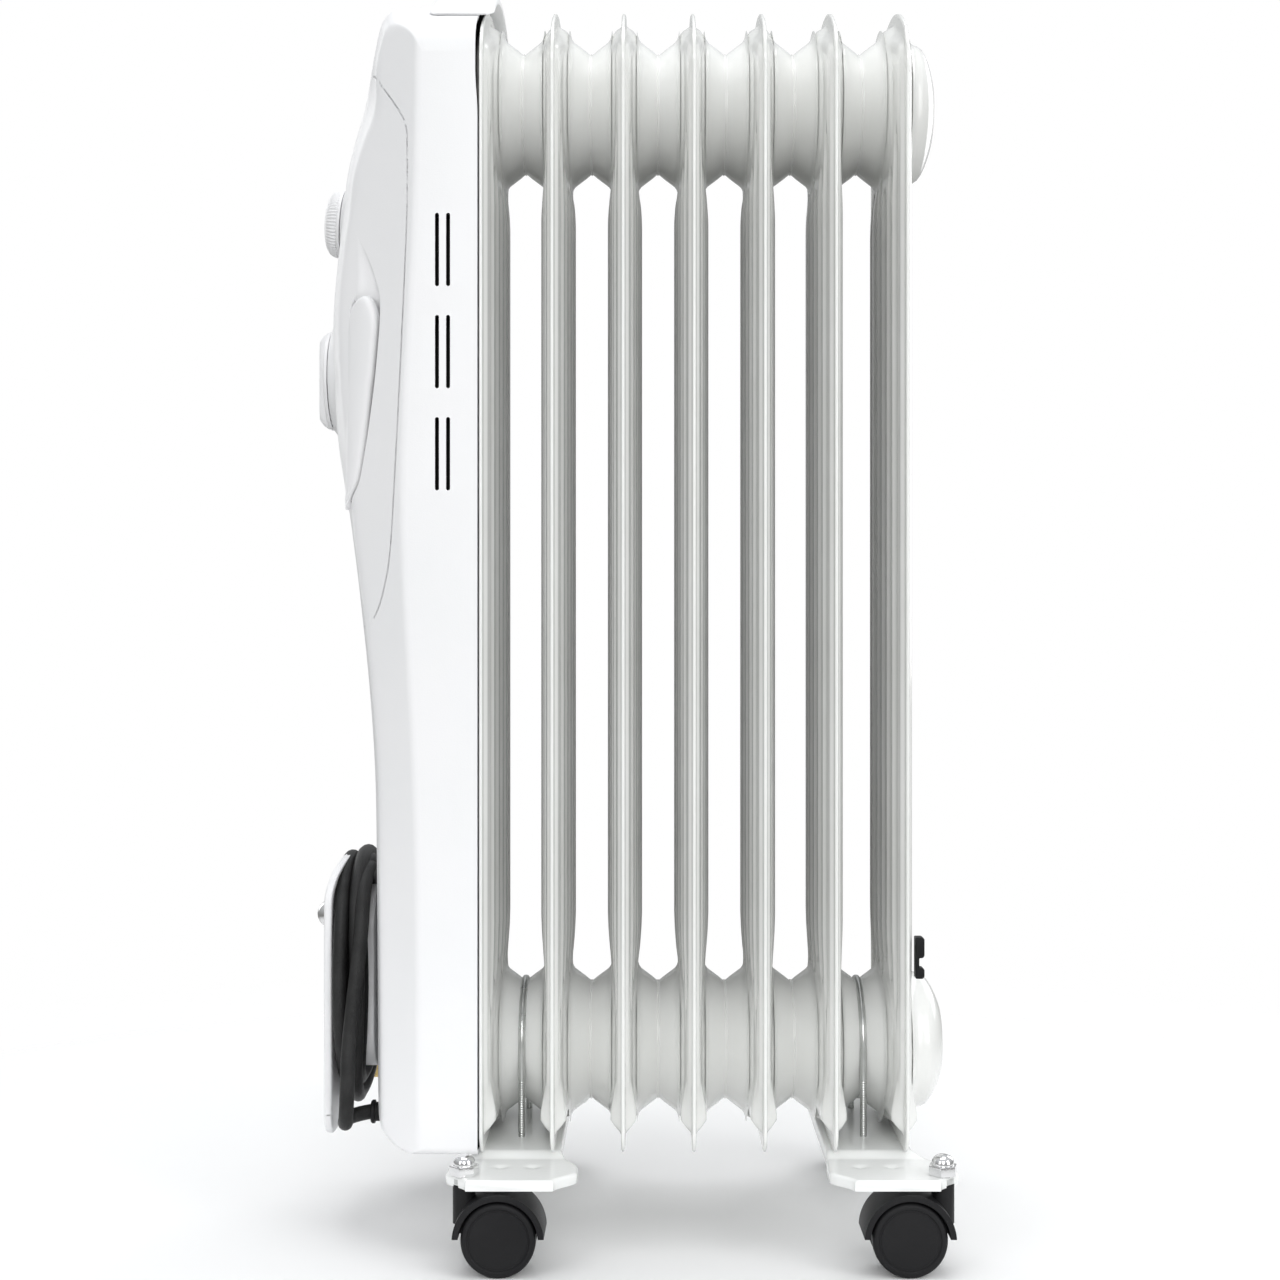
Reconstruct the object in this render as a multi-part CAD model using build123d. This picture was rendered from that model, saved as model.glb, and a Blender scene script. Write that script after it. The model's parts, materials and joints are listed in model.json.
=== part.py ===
from build123d import *
import os
from math import cos, radians, sin, sqrt, tan

# Oil filled radiator heater.  Millimetres.  The origin is on the floor under the middle of
# the heater, +X runs from the control end to the rear end, +Y across the fins, +Z up.

# ---------------------------------------------------------------- driving dimensions
CONTROL_END_X = -168.5      # head of the cord winder's screw
REAR_END_X = 168.5          # dome of the lower rear cap
FIN_COUNT = 7
FIN_PITCH = 36.0
FIN_1_X = -73.5
FIN_WIDTH = 150.0
FIN_BOTTOM = 50.0
FIN_TOP = 646.0
CROWN_RADIUS = 110.0
FIN_CORNER = 24.0
FLANGE_HALF = 1.0           # half thickness of the welded rim
EDGE_HALF = 3.4             # half thickness just inside the rim
BULGE_HALF = 7.0            # half thickness over the oil channels
SHEET = 1.0                 # fin sheet
HUB_BORE = 27.0
PRESS_FIT = 0.02            # radial room of a bore that its pin is pressed into
RUNNING_FIT = 0.06          # radial room of a bore that its pin turns in

HEADER_LOW_Z = 95.0
HEADER_HIGH_Z = 596.5
HEADER_ROOT = 36.0
HEADER_WAIST = 30.0
HEADER_WALL = 1.6

HOUSING_BACK_X = -78.0
HOUSING_HALF = 76.5
HOUSING_BOTTOM = 51.0
HOUSING_TOP = 650.0
HOUSING_WALL = 2.2
FACET_X = -106.0            # where the flat side turns towards the front
FACET_TIP = (-166.0, 33.5)  # X and half width that the facet plane heads for
SEAM_GAP = 0.25             # half of the gap round the fascia

HANDLE_FRONT_X = -104.5
HANDLE_BACK_X = -67.5
HANDLE_TOP = 656.0
POCKET_FRONT_X = -128.0
POCKET_BACK_X = -90.0
POCKET_HALF = 44.0
POCKET_FLOOR = 606.0

VENT_COLUMNS_X = (-95.3, -89.7)
VENT_TOP = 526.5            # upper end of the highest pair
VENT_PITCH = 51.5
VENT_SIZE = (2.0, 12.0, 37.0)
VENT_CORNER = 0.95
SHIELD_X = (-88.4, -87.4)   # sheet between the controls and the first fin

ELEMENT_RADIUS = 4.0
ELEMENT_SPREAD = 10.5       # half the distance between the legs of a hairpin
ELEMENT_FIT = 0.05
FLANGE_X = -96.0            # outer face of the heater flange's hexagon
FLANGE_HEX = (30.0, 8.0)    # radius over the corners and length
GASKET = 1.5

THERMOSTAT_Z = 537.0
THERMOSTAT_SEAT_X = -153.9
THERMOSTAT_TILT = 5.0
THERMOSTAT_RADIUS = 18.0
THERMOSTAT_HEIGHT = 9.5
SELECTOR_Z = 452.0
SELECTOR_SEAT_X = -159.4
SELECTOR_RADIUS = 26.5
SELECTOR_BASE = 2.2
SELECTOR_HEIGHT = 7.4
SPINDLE_RADIUS = 3.0

FOOT_HALF_Y = 110.0
FOOT_SHEET = 1.5
FOOT_TOP = 47.4
FOOT_LIP = 5.2
CHANNEL_HALF_Y = 62.0
CHANNEL_HALF_X = 22.0
TRAY_CORNER = 9.0
FRONT_FOOT = (-89.0, -24.0)
REAR_FOOT = (101.0, 165.0)
UBOLT_ROD = 1.9
UBOLT_RADIUS = 32.4

WHEEL_RADIUS = 18.4
WHEEL_WIDTH = 9.6
WHEEL_GAP = 3.9             # from the middle of the caster to a wheel
CASTER_Y = 98.5
CASTER_TRAIL = 17.6
CASTER_STEMS_X = (-79.5, 156.5)
SWIVEL_PIN_RADIUS = 3.0
AXLE_RADIUS = 2.0

CORD_DIAMETER = 7.8
WINDER_PLATE_X = (-159.0, -154.5)
WINDER_PLATE_Z = (50.5, 197.0)
WINDER_HALF = 38.0
WINDER_SCREW_Z = 163.0
SCREW_HEAD = 8.5            # radius of the screw's domed head
COIL_X = (-154.2, -135.2)
COIL_Z = (62.0, 198.0)
COIL_HALF = 42.0
COIL_HOLE_HALF = 25.0

# Route of the lead from its gland to the coil, and of the tail from the coil to the plug.
LEAD_ROUTE = [
    (-136.0, -24.0, 61.0), (-149.0, -30.0, 60.0), (-146.0, -47.0, 58.0),
    (-144.6, -51.0, 78.0), (-144.4, -48.0, 102.0), (-144.4, -39.0, 124.0),
]
TAIL_ROUTE = [
    (-144.0, 6.0, 194.5), (-144.0, 30.0, 194.5), (-143.8, 50.0, 184.5),
    (-143.6, 60.0, 166.0), (-143.6, 62.0, 146.0),
]
PLUG_X, PLUG_Y, PLUG_TOP_Z = TAIL_ROUTE[-1]
PLUG_RELIEF = 28.0
PLUG_BODY = (16.0, 32.0, 36.0)
PIN_RADIUS = 2.0
PIN_LENGTH = 19.0
PIN_ROOT = 8.0              # length of the thicker root moulded into the plug
ROOT_RADIUS = 2.5
PIN_SPACING = 9.5

fin_x = [FIN_1_X + FIN_PITCH * number for number in range(FIN_COUNT)]
parts = {}


# ---------------------------------------------------------------- helpers
def box_between(low, high):
    """A box from its lowest to its highest corner."""
    size = [b - a for a, b in zip(low, high)]
    middle = [(a + b) / 2 for a, b in zip(low, high)]
    return Pos(*middle) * Box(*size)


def rod_x(x_start, x_end, radius, y=0.0, z=0.0):
    """A round rod along X."""
    return Pos((x_start + x_end) / 2, y, z) * Rot(0, 90, 0) * Cylinder(radius, x_end - x_start)


def rod_y(y_start, y_end, radius, x=0.0, z=0.0):
    """A round rod along Y."""
    return Pos(x, (y_start + y_end) / 2, z) * Rot(90, 0, 0) * Cylinder(radius, y_end - y_start)


def rod_z(z_start, z_end, radius, x=0.0, y=0.0):
    """A round rod along Z."""
    return Pos(x, y, (z_start + z_end) / 2) * Cylinder(radius, z_end - z_start)


def arched_outline(half, bottom, top, crown, corner_top, corner_bottom):
    """A tall outline with a crowned top, in Y and Z."""
    shoulder = top - crown + sqrt(crown ** 2 - half ** 2)
    sides = Polyline((-half, shoulder), (-half, bottom), (half, bottom), (half, shoulder))
    face = make_face(sides + ThreePointArc((half, shoulder), (0, top), (-half, shoulder)))
    corners = face.vertices().sort_by(Axis.Y)
    face = fillet(corners[:2], corner_bottom)
    corners = [v for v in face.vertices() if abs(abs(v.X) - half) < 0.01 and v.Y > shoulder - 1]
    return fillet(corners, corner_top)


def facing_x(face, x):
    """Lay a sketch drawn in Y and Z on the plane at x."""
    return Plane.YZ.offset(x) * face


def turned_about_x(points, x, z):
    """Turn a closed outline of (x, radius) points about a line along X."""
    return Pos(x, 0, z) * revolve(Plane.XZ * make_face(points), Axis.X, 360)


def path_radii(points):
    """Radius of each corner: 0.45 of the shorter run over the tangent of half the turn."""
    radii = []
    for before, corner, after in zip(points, points[1:], points[2:]):
        run_in = Vector(*corner) - Vector(*before)
        run_out = Vector(*after) - Vector(*corner)
        half_turn = radians(run_in.get_angle(run_out) / 2)
        radii.append(0.45 * min(run_in.length, run_out.length) / tan(half_turn))
    return radii


def tube(points, radius, radii=None):
    """A round solid along straight runs joined by tangent arcs."""
    path = FilletPolyline(*points, radius=radii or path_radii(points))
    section = Plane(origin=path @ 0, z_dir=path % 0) * Circle(radius)
    return sweep(section, path=path)


def as_group(solids):
    """Separate solids of one node."""
    return Compound(children=list(solids))


# ---------------------------------------------------------------- fins and headers
def fin_section(x, side_inset, end_inset):
    outline = arched_outline(
        FIN_WIDTH / 2 - side_inset, FIN_BOTTOM + end_inset, FIN_TOP - end_inset,
        CROWN_RADIUS - end_inset, FIN_CORNER, 12,
    )
    return facing_x(outline, x)


def fin():
    """Two pressed halves welded round the rim: a hollow oil panel with a flat rim."""
    rim = extrude(fin_section(-FLANGE_HALF, 0, 0), 2 * FLANGE_HALF, dir=(1, 0, 0))
    bulge = loft([
        fin_section(0, 4, 8), fin_section(EDGE_HALF, 7, 11), fin_section(BULGE_HALF, 30, 16),
    ], ruled=True)
    hollow = loft([
        fin_section(0, 6, 10), fin_section(EDGE_HALF - SHEET, 9, 13),
        fin_section(BULGE_HALF - SHEET, 31, 17),
    ], ruled=True)
    body = rim + bulge + mirror(bulge, Plane.YZ)
    body -= hollow + mirror(hollow, Plane.YZ)
    for z in (HEADER_LOW_Z, HEADER_HIGH_Z):
        body -= rod_x(-2 * BULGE_HALF, 2 * BULGE_HALF, HUB_BORE, z=z)
    return body


def header(z):
    """The waisted collars that join neighbouring fins along one header."""
    reach = FIN_PITCH / 2 - BULGE_HALF
    outer = ThreePointArc((-reach, HEADER_ROOT), (0, HEADER_WAIST), (reach, HEADER_ROOT))
    inner = ThreePointArc(
        (reach, HEADER_ROOT - HEADER_WALL), (0, HEADER_WAIST - HEADER_WALL),
        (-reach, HEADER_ROOT - HEADER_WALL),
    )
    ends = [Line(outer @ 1, inner @ 0), Line(inner @ 1, outer @ 0)]
    profile = Curve() + [outer, ends[0], inner, ends[1]]
    collar = revolve(Plane.XZ * make_face(profile), Axis.X, 360)
    return as_group(Pos(x + FIN_PITCH / 2, 0, z) * collar for x in fin_x[:-1])


def rear_cap(z, end_x):
    """A pressed dome that closes a header behind the last fin."""
    face_x = fin_x[-1] + BULGE_HALF
    depth = end_x - face_x
    dome = Polyline(
        (0, 0), (0, HEADER_ROOT), (0.35 * depth, HEADER_ROOT - 1.0),
        (0.72 * depth, HEADER_ROOT - 8.0), (depth, HEADER_ROOT - 16.5), (depth, 0), (0, 0),
    )
    hollow = Polyline(
        (0, 0), (0, HUB_BORE), (0.62 * depth, HUB_BORE - 3.0),
        (depth - HEADER_WALL, HEADER_ROOT - 19.0), (depth - HEADER_WALL, 0), (0, 0),
    )
    return turned_about_x(dome, face_x, z) - turned_about_x(hollow, face_x, z)


def make_fins():
    one = fin()
    for number, x in enumerate(fin_x, start=1):
        parts[f"fin_{number}"] = Pos(x, 0, 0) * one
    parts["header_collars_lower"] = header(HEADER_LOW_Z)
    parts["header_collars_upper"] = header(HEADER_HIGH_Z)
    parts["rear_cap_lower"] = rear_cap(HEADER_LOW_Z, REAR_END_X)
    parts["rear_cap_upper"] = rear_cap(HEADER_HIGH_Z, REAR_END_X - 4.5)
    face_x = fin_x[0] - BULGE_HALF
    parts["front_cap_upper"] = rod_x(face_x - 4, face_x, HEADER_ROOT, z=HEADER_HIGH_Z)


# ---------------------------------------------------------------- heating element set
def make_heater():
    """Screwed flange with its gasket, two hairpin elements and their terminal tabs."""
    face_x = fin_x[0] - BULGE_HALF
    seal = rod_x(face_x - GASKET, face_x, 34.0, z=HEADER_LOW_Z)
    parts["heater_gasket"] = seal - rod_x(face_x - 2, face_x + 1, 24.0, z=HEADER_LOW_Z)

    corner_radius, length = FLANGE_HEX
    hexagon = extrude(facing_x(RegularPolygon(corner_radius, 6), FLANGE_X), length, dir=(1, 0, 0))
    plug = Pos(0, 0, HEADER_LOW_Z) * hexagon
    plug += rod_x(FLANGE_X + length, face_x - GASKET, 33.0, z=HEADER_LOW_Z)
    plug += rod_x(face_x - GASKET, face_x + 6, 23.0, z=HEADER_LOW_Z)

    low, high = HEADER_LOW_Z - ELEMENT_SPREAD, HEADER_LOW_Z + ELEMENT_SPREAD
    start, end = FLANGE_X - 4, fin_x[-1] - 12
    hairpins = []
    for y in (-ELEMENT_SPREAD, ELEMENT_SPREAD):
        route = [(start, y, high), (end, y, high), (end, y, low), (start, y, low)]
        hairpins.append(tube(route, ELEMENT_RADIUS, [ELEMENT_SPREAD - 0.3] * 2))
        for z in (low, high):
            plug -= rod_x(FLANGE_X - 1, face_x + 8, ELEMENT_RADIUS + ELEMENT_FIT, y=y, z=z)
    parts["heater_flange"] = plug
    parts["heating_elements"] = as_group(hairpins)

    tabs = []
    for y in (-ELEMENT_SPREAD, ELEMENT_SPREAD):
        for z in (low, high):
            tabs.append(box_between((start - 10, y - 3.1, z - 0.5), (start, y + 3.1, z + 0.5)))
    parts["element_terminals"] = as_group(tabs)


# ---------------------------------------------------------------- control housing
FRONT_LINE = [
    (-133.5, 66.0), (-134.2, 205.0), (-138.0, 290.0), (-144.5, 356.0), (-150.0, 420.0),
    (-153.2, 490.0), (-152.7, 537.0), (-148.0, 574.0), (-141.0, 602.0), (-135.0, 624.0),
]
SEAM_LINE = [
    (-180, 600), (-130, 600), (-113, 573), (-110.8, 562), (-110.8, 531), (-112.7, 481),
    (-115.7, 418), (-119.3, 360), (-125, 330), (-133, 318), (-180, 318),
]


def side_profile(inset):
    """Side view of the housing, in X and Z."""
    front = [(x + inset, z) for x, z in FRONT_LINE]
    foot, shoulder = front[0], front[-1]
    bottom, top = HOUSING_BOTTOM + inset, HOUSING_TOP - inset + 1
    back = HOUSING_BACK_X + inset
    line = Spline(*front)
    nose = Spline(shoulder, (-128 + inset, 640 - inset), (-112, top), tangents=[line % 1, (1, 0)])
    rest = Polyline((-112, top), (back, top), (back, bottom), (-119 + inset, bottom))
    heel = ThreePointArc(
        (-119 + inset, bottom), (-129.4 + inset, 55.2 + inset), foot,
    )
    return make_face(Curve() + [line, nose, rest, heel])


def plan_profile(inset):
    """Plan view of the housing, in X and Y."""
    half = HOUSING_HALF - inset
    tip_x, tip_y = FACET_TIP
    back = HOUSING_BACK_X + inset
    return make_face(Polyline(
        (back, -half), (FACET_X, -half), (tip_x, -(tip_y - inset)),
        (tip_x, tip_y - inset), (FACET_X, half), (back, half), (back, -half),
    ))


def housing_form(inset):
    """Outer form of the housing, drawn in by inset and open towards the fins."""
    side = extrude(Plane.XZ * side_profile(inset), 2 * HOUSING_HALF + 10, both=True)
    plan = extrude(Pos(0, 0, 20) * plan_profile(inset), 680)
    arch = arched_outline(
        HOUSING_HALF - inset, HOUSING_BOTTOM - 8, HOUSING_TOP - inset,
        CROWN_RADIUS + 2 - inset, FIN_CORNER, 4,
    )
    return side & plan & extrude(facing_x(arch, -200), 200, dir=(1, 0, 0))


def seam_region(growth):
    """Everything in front of the fascia's seam."""
    face = offset(make_face(Polyline(*SEAM_LINE, close=True)), amount=growth)
    return extrude(Plane.XZ * face, 120, both=True)


def pod():
    """The raised leaf on the fascia that carries the selector knob."""
    profile = make_face(Polyline((-140, 517), (-140, 378)) + Spline(
        (-140, 378), (-150, 381), (-155.0, 400), (-158.0, 430), (-158.0, 480), (-155.6, 508),
        (-140, 517),
    ))
    leaf = make_face(Polyline(
        (-33, 482), (-31, 430), (-20, 394), (0, 379), (20, 394), (31, 430), (33, 482),
    ) + ThreePointArc((33, 482), (0, 515), (-33, 482)))
    block = extrude(Plane.XZ * profile, 40, both=True)
    return block & extrude(facing_x(leaf, -170), 60, dir=(1, 0, 0))


def carry_handle():
    """An arched grip bar across the top, hooked over the first fin."""
    bar = arched_outline(64, 560, HANDLE_TOP, CROWN_RADIUS + 8, 6, 4)
    under = arched_outline(90, 500, HOUSING_TOP + 0.1, CROWN_RADIUS + 2, 4, 4)
    grip = extrude(facing_x(bar, HANDLE_FRONT_X), HANDLE_BACK_X - HANDLE_FRONT_X, dir=(1, 0, 0))
    return grip - extrude(facing_x(under, -140), 100, dir=(1, 0, 0))


def make_housing():
    outer, inner = housing_form(0), housing_form(HOUSING_WALL)
    inner += box_between((-100, -74, 54), (HOUSING_BACK_X + 1, 74, 600))
    shell = outer - inner
    pocket = box_between(
        (POCKET_FRONT_X, -POCKET_HALF, POCKET_FLOOR), (POCKET_BACK_X, POCKET_HALF, 660),
    )
    wall = HOUSING_WALL
    lining = box_between(
        (POCKET_FRONT_X - wall, -POCKET_HALF - wall, POCKET_FLOOR - wall),
        (POCKET_BACK_X + wall, POCKET_HALF + wall, 660),
    )
    shell = shell + (lining & outer) - pocket
    shell -= seam_region(SEAM_GAP)

    for side in (-1, 1):
        for group in range(3):
            for x in VENT_COLUMNS_X:
                middle = VENT_TOP - VENT_PITCH * group - VENT_SIZE[2] / 2
                slot = Pos(x, side * HOUSING_HALF, middle) * Box(*VENT_SIZE)
                shell -= fillet(slot.edges().filter_by(Axis.Y), VENT_CORNER)
    shell -= rod_x(-140, -125, 5.2, y=LEAD_ROUTE[0][1], z=LEAD_ROUTE[0][2])
    parts["housing_shell"] = shell

    fascia = (outer - inner) & seam_region(-SEAM_GAP)
    raised = pod() - outer
    for z in (THERMOSTAT_Z, SELECTOR_Z):
        opening = rod_x(-170, -120, SPINDLE_RADIUS + 1.0, z=z)
        fascia -= opening
        raised -= opening
    parts["front_fascia"] = fascia
    parts["control_pod"] = raised
    parts["carry_handle"] = carry_handle()

    shield = box_between((SHIELD_X[0], -70, 60), (SHIELD_X[1], 70, 600))
    shield -= rod_x(-90, -86, 37.0, z=HEADER_LOW_Z)
    shield -= box_between((-90, -39, 560), (-86, 39, 640))
    for row in range(6):
        for y in (-45, 0, 45):
            shield -= Pos(-88, y, 190 + 60 * row) * Box(6, 26, 6)
    parts["heat_shield"] = shield

    screws = []
    for y in (-60, 60):
        for z in (180, 520):
            head = rod_x(-87.3, -85.3, 3.6, y=y, z=z)
            screws.append(head + rod_x(-98, -87.3, 1.6, y=y, z=z))
            parts["heat_shield"] -= rod_x(-90, -86, 1.7, y=y, z=z)
    parts["shield_screws"] = as_group(screws)


# ---------------------------------------------------------------- electrics
def make_electrics():
    thermostat = box_between((-138, -14, 523), (-116, 14, 551))
    bore = knob_frame(THERMOSTAT_TILT, THERMOSTAT_SEAT_X, THERMOSTAT_Z).location
    parts["thermostat_body"] = thermostat - bore * Cylinder(SPINDLE_RADIUS + 0.1, 60)
    switch = box_between((-138, -18, 434), (-112, 18, 470))
    parts["selector_switch"] = switch - rod_x(-140, -130, SPINDLE_RADIUS + 0.1, z=SELECTOR_Z)
    parts["thermal_cutout"] = rod_x(-98, -88.4, 9.0, z=330) + box_between(
        (-89.4, -18, 326), (-88.4, 18, 334),
    )
    parts["terminal_block"] = box_between((-112, -24, 150), (-88.5, 24, 166))

    wires = []
    for y, z_turn, z_top in ((-12, 480, 522.5), (-4, 300, 433.5), (4, 300, 433.5), (12, 480, 522.5)):
        route = [(-104, y, 166.4), (-104, y, z_turn), (-122, y, z_turn + 20), (-122, y, z_top)]
        wires.append(tube(route, 1.3, [12.0, 12.0]))
    parts["internal_wiring"] = as_group(wires)


# ---------------------------------------------------------------- knobs
def knob_frame(tilt, seat_x, z):
    """Local +Z points straight out of the seat; positive tilt leans the knob upwards."""
    outward = (-cos(radians(tilt)), 0, sin(radians(tilt)))
    return Plane(origin=(seat_x, 0, z), x_dir=(0, 1, 0), z_dir=outward)


def spindle():
    """A round shaft from the control behind the fascia into the knob."""
    return Pos(0, 0, -7.5) * Cylinder(SPINDLE_RADIUS, 25)


def thermostat_knob():
    """A knurled dial with a bevelled face."""
    dial = Pos(0, 0, THERMOSTAT_HEIGHT / 2) * Cylinder(THERMOSTAT_RADIUS, THERMOSTAT_HEIGHT)
    dial = chamfer(dial.edges().group_by(Axis.Z)[-1], 2.5)
    for step in range(24):
        groove = Pos(THERMOSTAT_RADIUS + 0.2, 0, 5.5) * Cylinder(0.8, 12)
        dial -= Rot(0, 0, 15 * step) * groove
    dial -= Pos(0, 12, THERMOSTAT_HEIGHT) * Box(1.6, 8, 1.2)
    return dial


def selector_knob():
    """A round base with a bar grip across it."""
    base = Pos(0, 0, SELECTOR_BASE / 2) * Cylinder(SELECTOR_RADIUS, SELECTOR_BASE)
    grip = Pos(0, 0, SELECTOR_HEIGHT / 2) * Box(13, 2 * SELECTOR_RADIUS, SELECTOR_HEIGHT)
    grip = chamfer(grip.faces().sort_by(Axis.Z)[-1].edges().filter_by(Axis.X), 3.5)
    grip = grip & (Pos(0, 0, 5) * Cylinder(SELECTOR_RADIUS, 20))
    return base + grip - Pos(0, 17, SELECTOR_HEIGHT) * Box(1.6, 8, 1.2)


def make_knobs():
    for name, tilt, seat_x, z, knob in (
        ("thermostat", THERMOSTAT_TILT, THERMOSTAT_SEAT_X, THERMOSTAT_Z, thermostat_knob()),
        ("selector", 0.0, SELECTOR_SEAT_X, SELECTOR_Z, selector_knob()),
    ):
        frame = knob_frame(tilt, seat_x, z)
        bore = Cylinder(SPINDLE_RADIUS + PRESS_FIT, 10 + 2 * PRESS_FIT)
        parts[f"{name}_knob"] = frame.location * (knob - bore)
        parts[f"{name}_spindle"] = frame.location * spindle()


# ---------------------------------------------------------------- feet
def tray_plans(x_low, x_high, inset):
    """Plans of the two broad ends of a foot, drawn in by inset."""
    shape = RectangleRounded(
        x_high - x_low - 2 * inset, FOOT_HALF_Y - CHANNEL_HALF_Y - 2 * inset, TRAY_CORNER - inset,
    )
    middle_x, middle_y = (x_low + x_high) / 2, (FOOT_HALF_Y + CHANNEL_HALF_Y) / 2
    return [Pos(middle_x, side * middle_y) * shape for side in (-1, 1)]


def foot(x_low, x_high, bolt_x, stem_x):
    """A pressed sheet foot: two shallow trays and the raised channel under the header."""
    lip_z = FOOT_TOP - FOOT_LIP
    trays = []
    for tray, hollow in zip(tray_plans(x_low, x_high, 0), tray_plans(x_low, x_high, FOOT_SHEET)):
        solid = extrude(Pos(0, 0, lip_z) * tray, FOOT_LIP)
        trays.append(solid - extrude(Pos(0, 0, lip_z) * hollow, FOOT_LIP - FOOT_SHEET))
    body = trays[0] + trays[1]
    low, high = bolt_x - CHANNEL_HALF_X, bolt_x + CHANNEL_HALF_X
    reach = CHANNEL_HALF_Y + 2.5
    top = FIN_BOTTOM
    body += box_between((low, -reach, top - FOOT_SHEET), (high, reach, top))
    for x in (low, high - FOOT_SHEET):
        body += box_between((x, -reach, lip_z), (x + FOOT_SHEET, reach, top))
    for y in (-reach, reach - FOOT_SHEET):
        body += box_between((low, y, FOOT_TOP - FOOT_SHEET), (high, y + FOOT_SHEET, top))
    for y in (-UBOLT_RADIUS, UBOLT_RADIUS):
        body -= rod_z(40, 52, UBOLT_ROD + 0.3, x=bolt_x, y=y)
    for y in (-CASTER_Y, CASTER_Y):
        body -= rod_z(40, 52, SWIVEL_PIN_RADIUS + 0.1, x=stem_x, y=y)
    return body


def ubolt(x):
    """A threaded rod bent over the waist of the lower header."""
    rise = UBOLT_RADIUS
    legs = [rod_z(36, HEADER_LOW_Z, UBOLT_ROD, x=x, y=y) for y in (-rise, rise)]
    arch_path = ThreePointArc(
        (x, -rise, HEADER_LOW_Z), (x, 0, HEADER_LOW_Z + rise), (x, rise, HEADER_LOW_Z),
    )
    section = Plane(origin=arch_path @ 0, z_dir=arch_path % 0) * Circle(UBOLT_ROD)
    return legs[0] + sweep(section, path=arch_path) + legs[1]


def wing_nut(x, y):
    """A wing nut drawn up under the foot."""
    top = FIN_BOTTOM - FOOT_SHEET
    nut = rod_z(top - 6, top, 4.6, x=x, y=y)
    for side in (-1, 1):
        wing = box_between((-1.3, 3.5, top - 9), (1.3, 11, top - 1.5))
        wing = Pos(x, y, 0) * (wing if side > 0 else mirror(wing, Plane.XZ))
        nut += wing
    return nut - rod_z(top - 12, top + 1, UBOLT_ROD + PRESS_FIT, x=x, y=y)


def acorn_nut(x, y):
    """A domed hexagon nut on top of the foot."""
    base = extrude(Pos(x, y, FOOT_TOP) * RegularPolygon(6.9, 6), 5.0)
    dome = Pos(x, y, FOOT_TOP + 5.0) * Sphere(5.4)
    body = base + (dome & box_between((x - 9, y - 9, FOOT_TOP + 4), (x + 9, y + 9, 70)))
    return body - rod_z(FOOT_TOP - 1, FOOT_TOP + 6, SWIVEL_PIN_RADIUS + PRESS_FIT, x=x, y=y)


def caster_stem(x, y):
    """A threaded pin with a collar under the foot; its lower end is the swivel pin."""
    pin = rod_z(29.5, FOOT_TOP + 5, SWIVEL_PIN_RADIUS, x=x, y=y)
    under = FOOT_TOP - FOOT_SHEET
    return pin + rod_z(under - 2.2, under, 5.5, x=x, y=y)


def make_feet():
    bolt_xs = (fin_x[0] + FIN_PITCH / 2, fin_x[-1] - FIN_PITCH / 2)
    for name, span, bolt_x, stem_x in (
        ("front", FRONT_FOOT, bolt_xs[0], CASTER_STEMS_X[0]),
        ("rear", REAR_FOOT, bolt_xs[1], CASTER_STEMS_X[1]),
    ):
        parts[f"foot_plate_{name}"] = foot(*span, bolt_x, stem_x)
        parts[f"u_bolt_{name}"] = ubolt(bolt_x)
    spots = [(x, y) for x in bolt_xs for y in (-UBOLT_RADIUS, UBOLT_RADIUS)]
    parts["wing_nuts"] = as_group(wing_nut(x, y) for x, y in spots)
    stems = [(x, y) for x in CASTER_STEMS_X for y in (-CASTER_Y, CASTER_Y)]
    parts["acorn_nuts"] = as_group(acorn_nut(x, y) for x, y in stems)
    parts["caster_stems"] = as_group(caster_stem(x, y) for x, y in stems)


# ---------------------------------------------------------------- casters
def caster_hood():
    """Swivel hood over two wheels; the stem is at the origin and the wheels trail to +X."""
    cover = rod_y(-14.2, 14.2, WHEEL_RADIUS + 4.0, x=CASTER_TRAIL, z=WHEEL_RADIUS)
    cover &= box_between((-20, -20, WHEEL_RADIUS + 1), (60, 20, 42.6))
    web = rod_y(-WHEEL_GAP + 0.5, WHEEL_GAP - 0.5, WHEEL_RADIUS - 3, x=CASTER_TRAIL, z=WHEEL_RADIUS)
    web += box_between((-1, -WHEEL_GAP + 0.5, 20), (CASTER_TRAIL, WHEEL_GAP - 0.5, 36))
    hub = rod_z(24.0, 43.2, 5.6)
    hood = cover + web + hub
    for low, high in ((-20, 0.4 - WHEEL_GAP), (WHEEL_GAP - 0.4, 20)):
        hood -= rod_y(low, high, WHEEL_RADIUS + 1.1, x=CASTER_TRAIL, z=WHEEL_RADIUS)
    hood -= rod_z(29.0, 50, SWIVEL_PIN_RADIUS + RUNNING_FIT)
    return hood - rod_y(-20, 20, AXLE_RADIUS + RUNNING_FIT, x=CASTER_TRAIL, z=WHEEL_RADIUS)


def caster_wheels():
    """A pair of wheels with a rounded tread and a dished outer face."""
    wheels = []
    for side in (-1, 1):
        near, far = side * WHEEL_GAP, side * (WHEEL_GAP + WHEEL_WIDTH)
        disc = rod_y(min(near, far), max(near, far), WHEEL_RADIUS)
        disc = fillet(disc.edges().filter_by(GeomType.CIRCLE), 1.2)
        dish = rod_y(far - 1.5, far + 1.5, WHEEL_RADIUS - 4.5)
        wheels.append(disc - dish - rod_y(-20, 20, AXLE_RADIUS + PRESS_FIT))
    return as_group(wheels)


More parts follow.
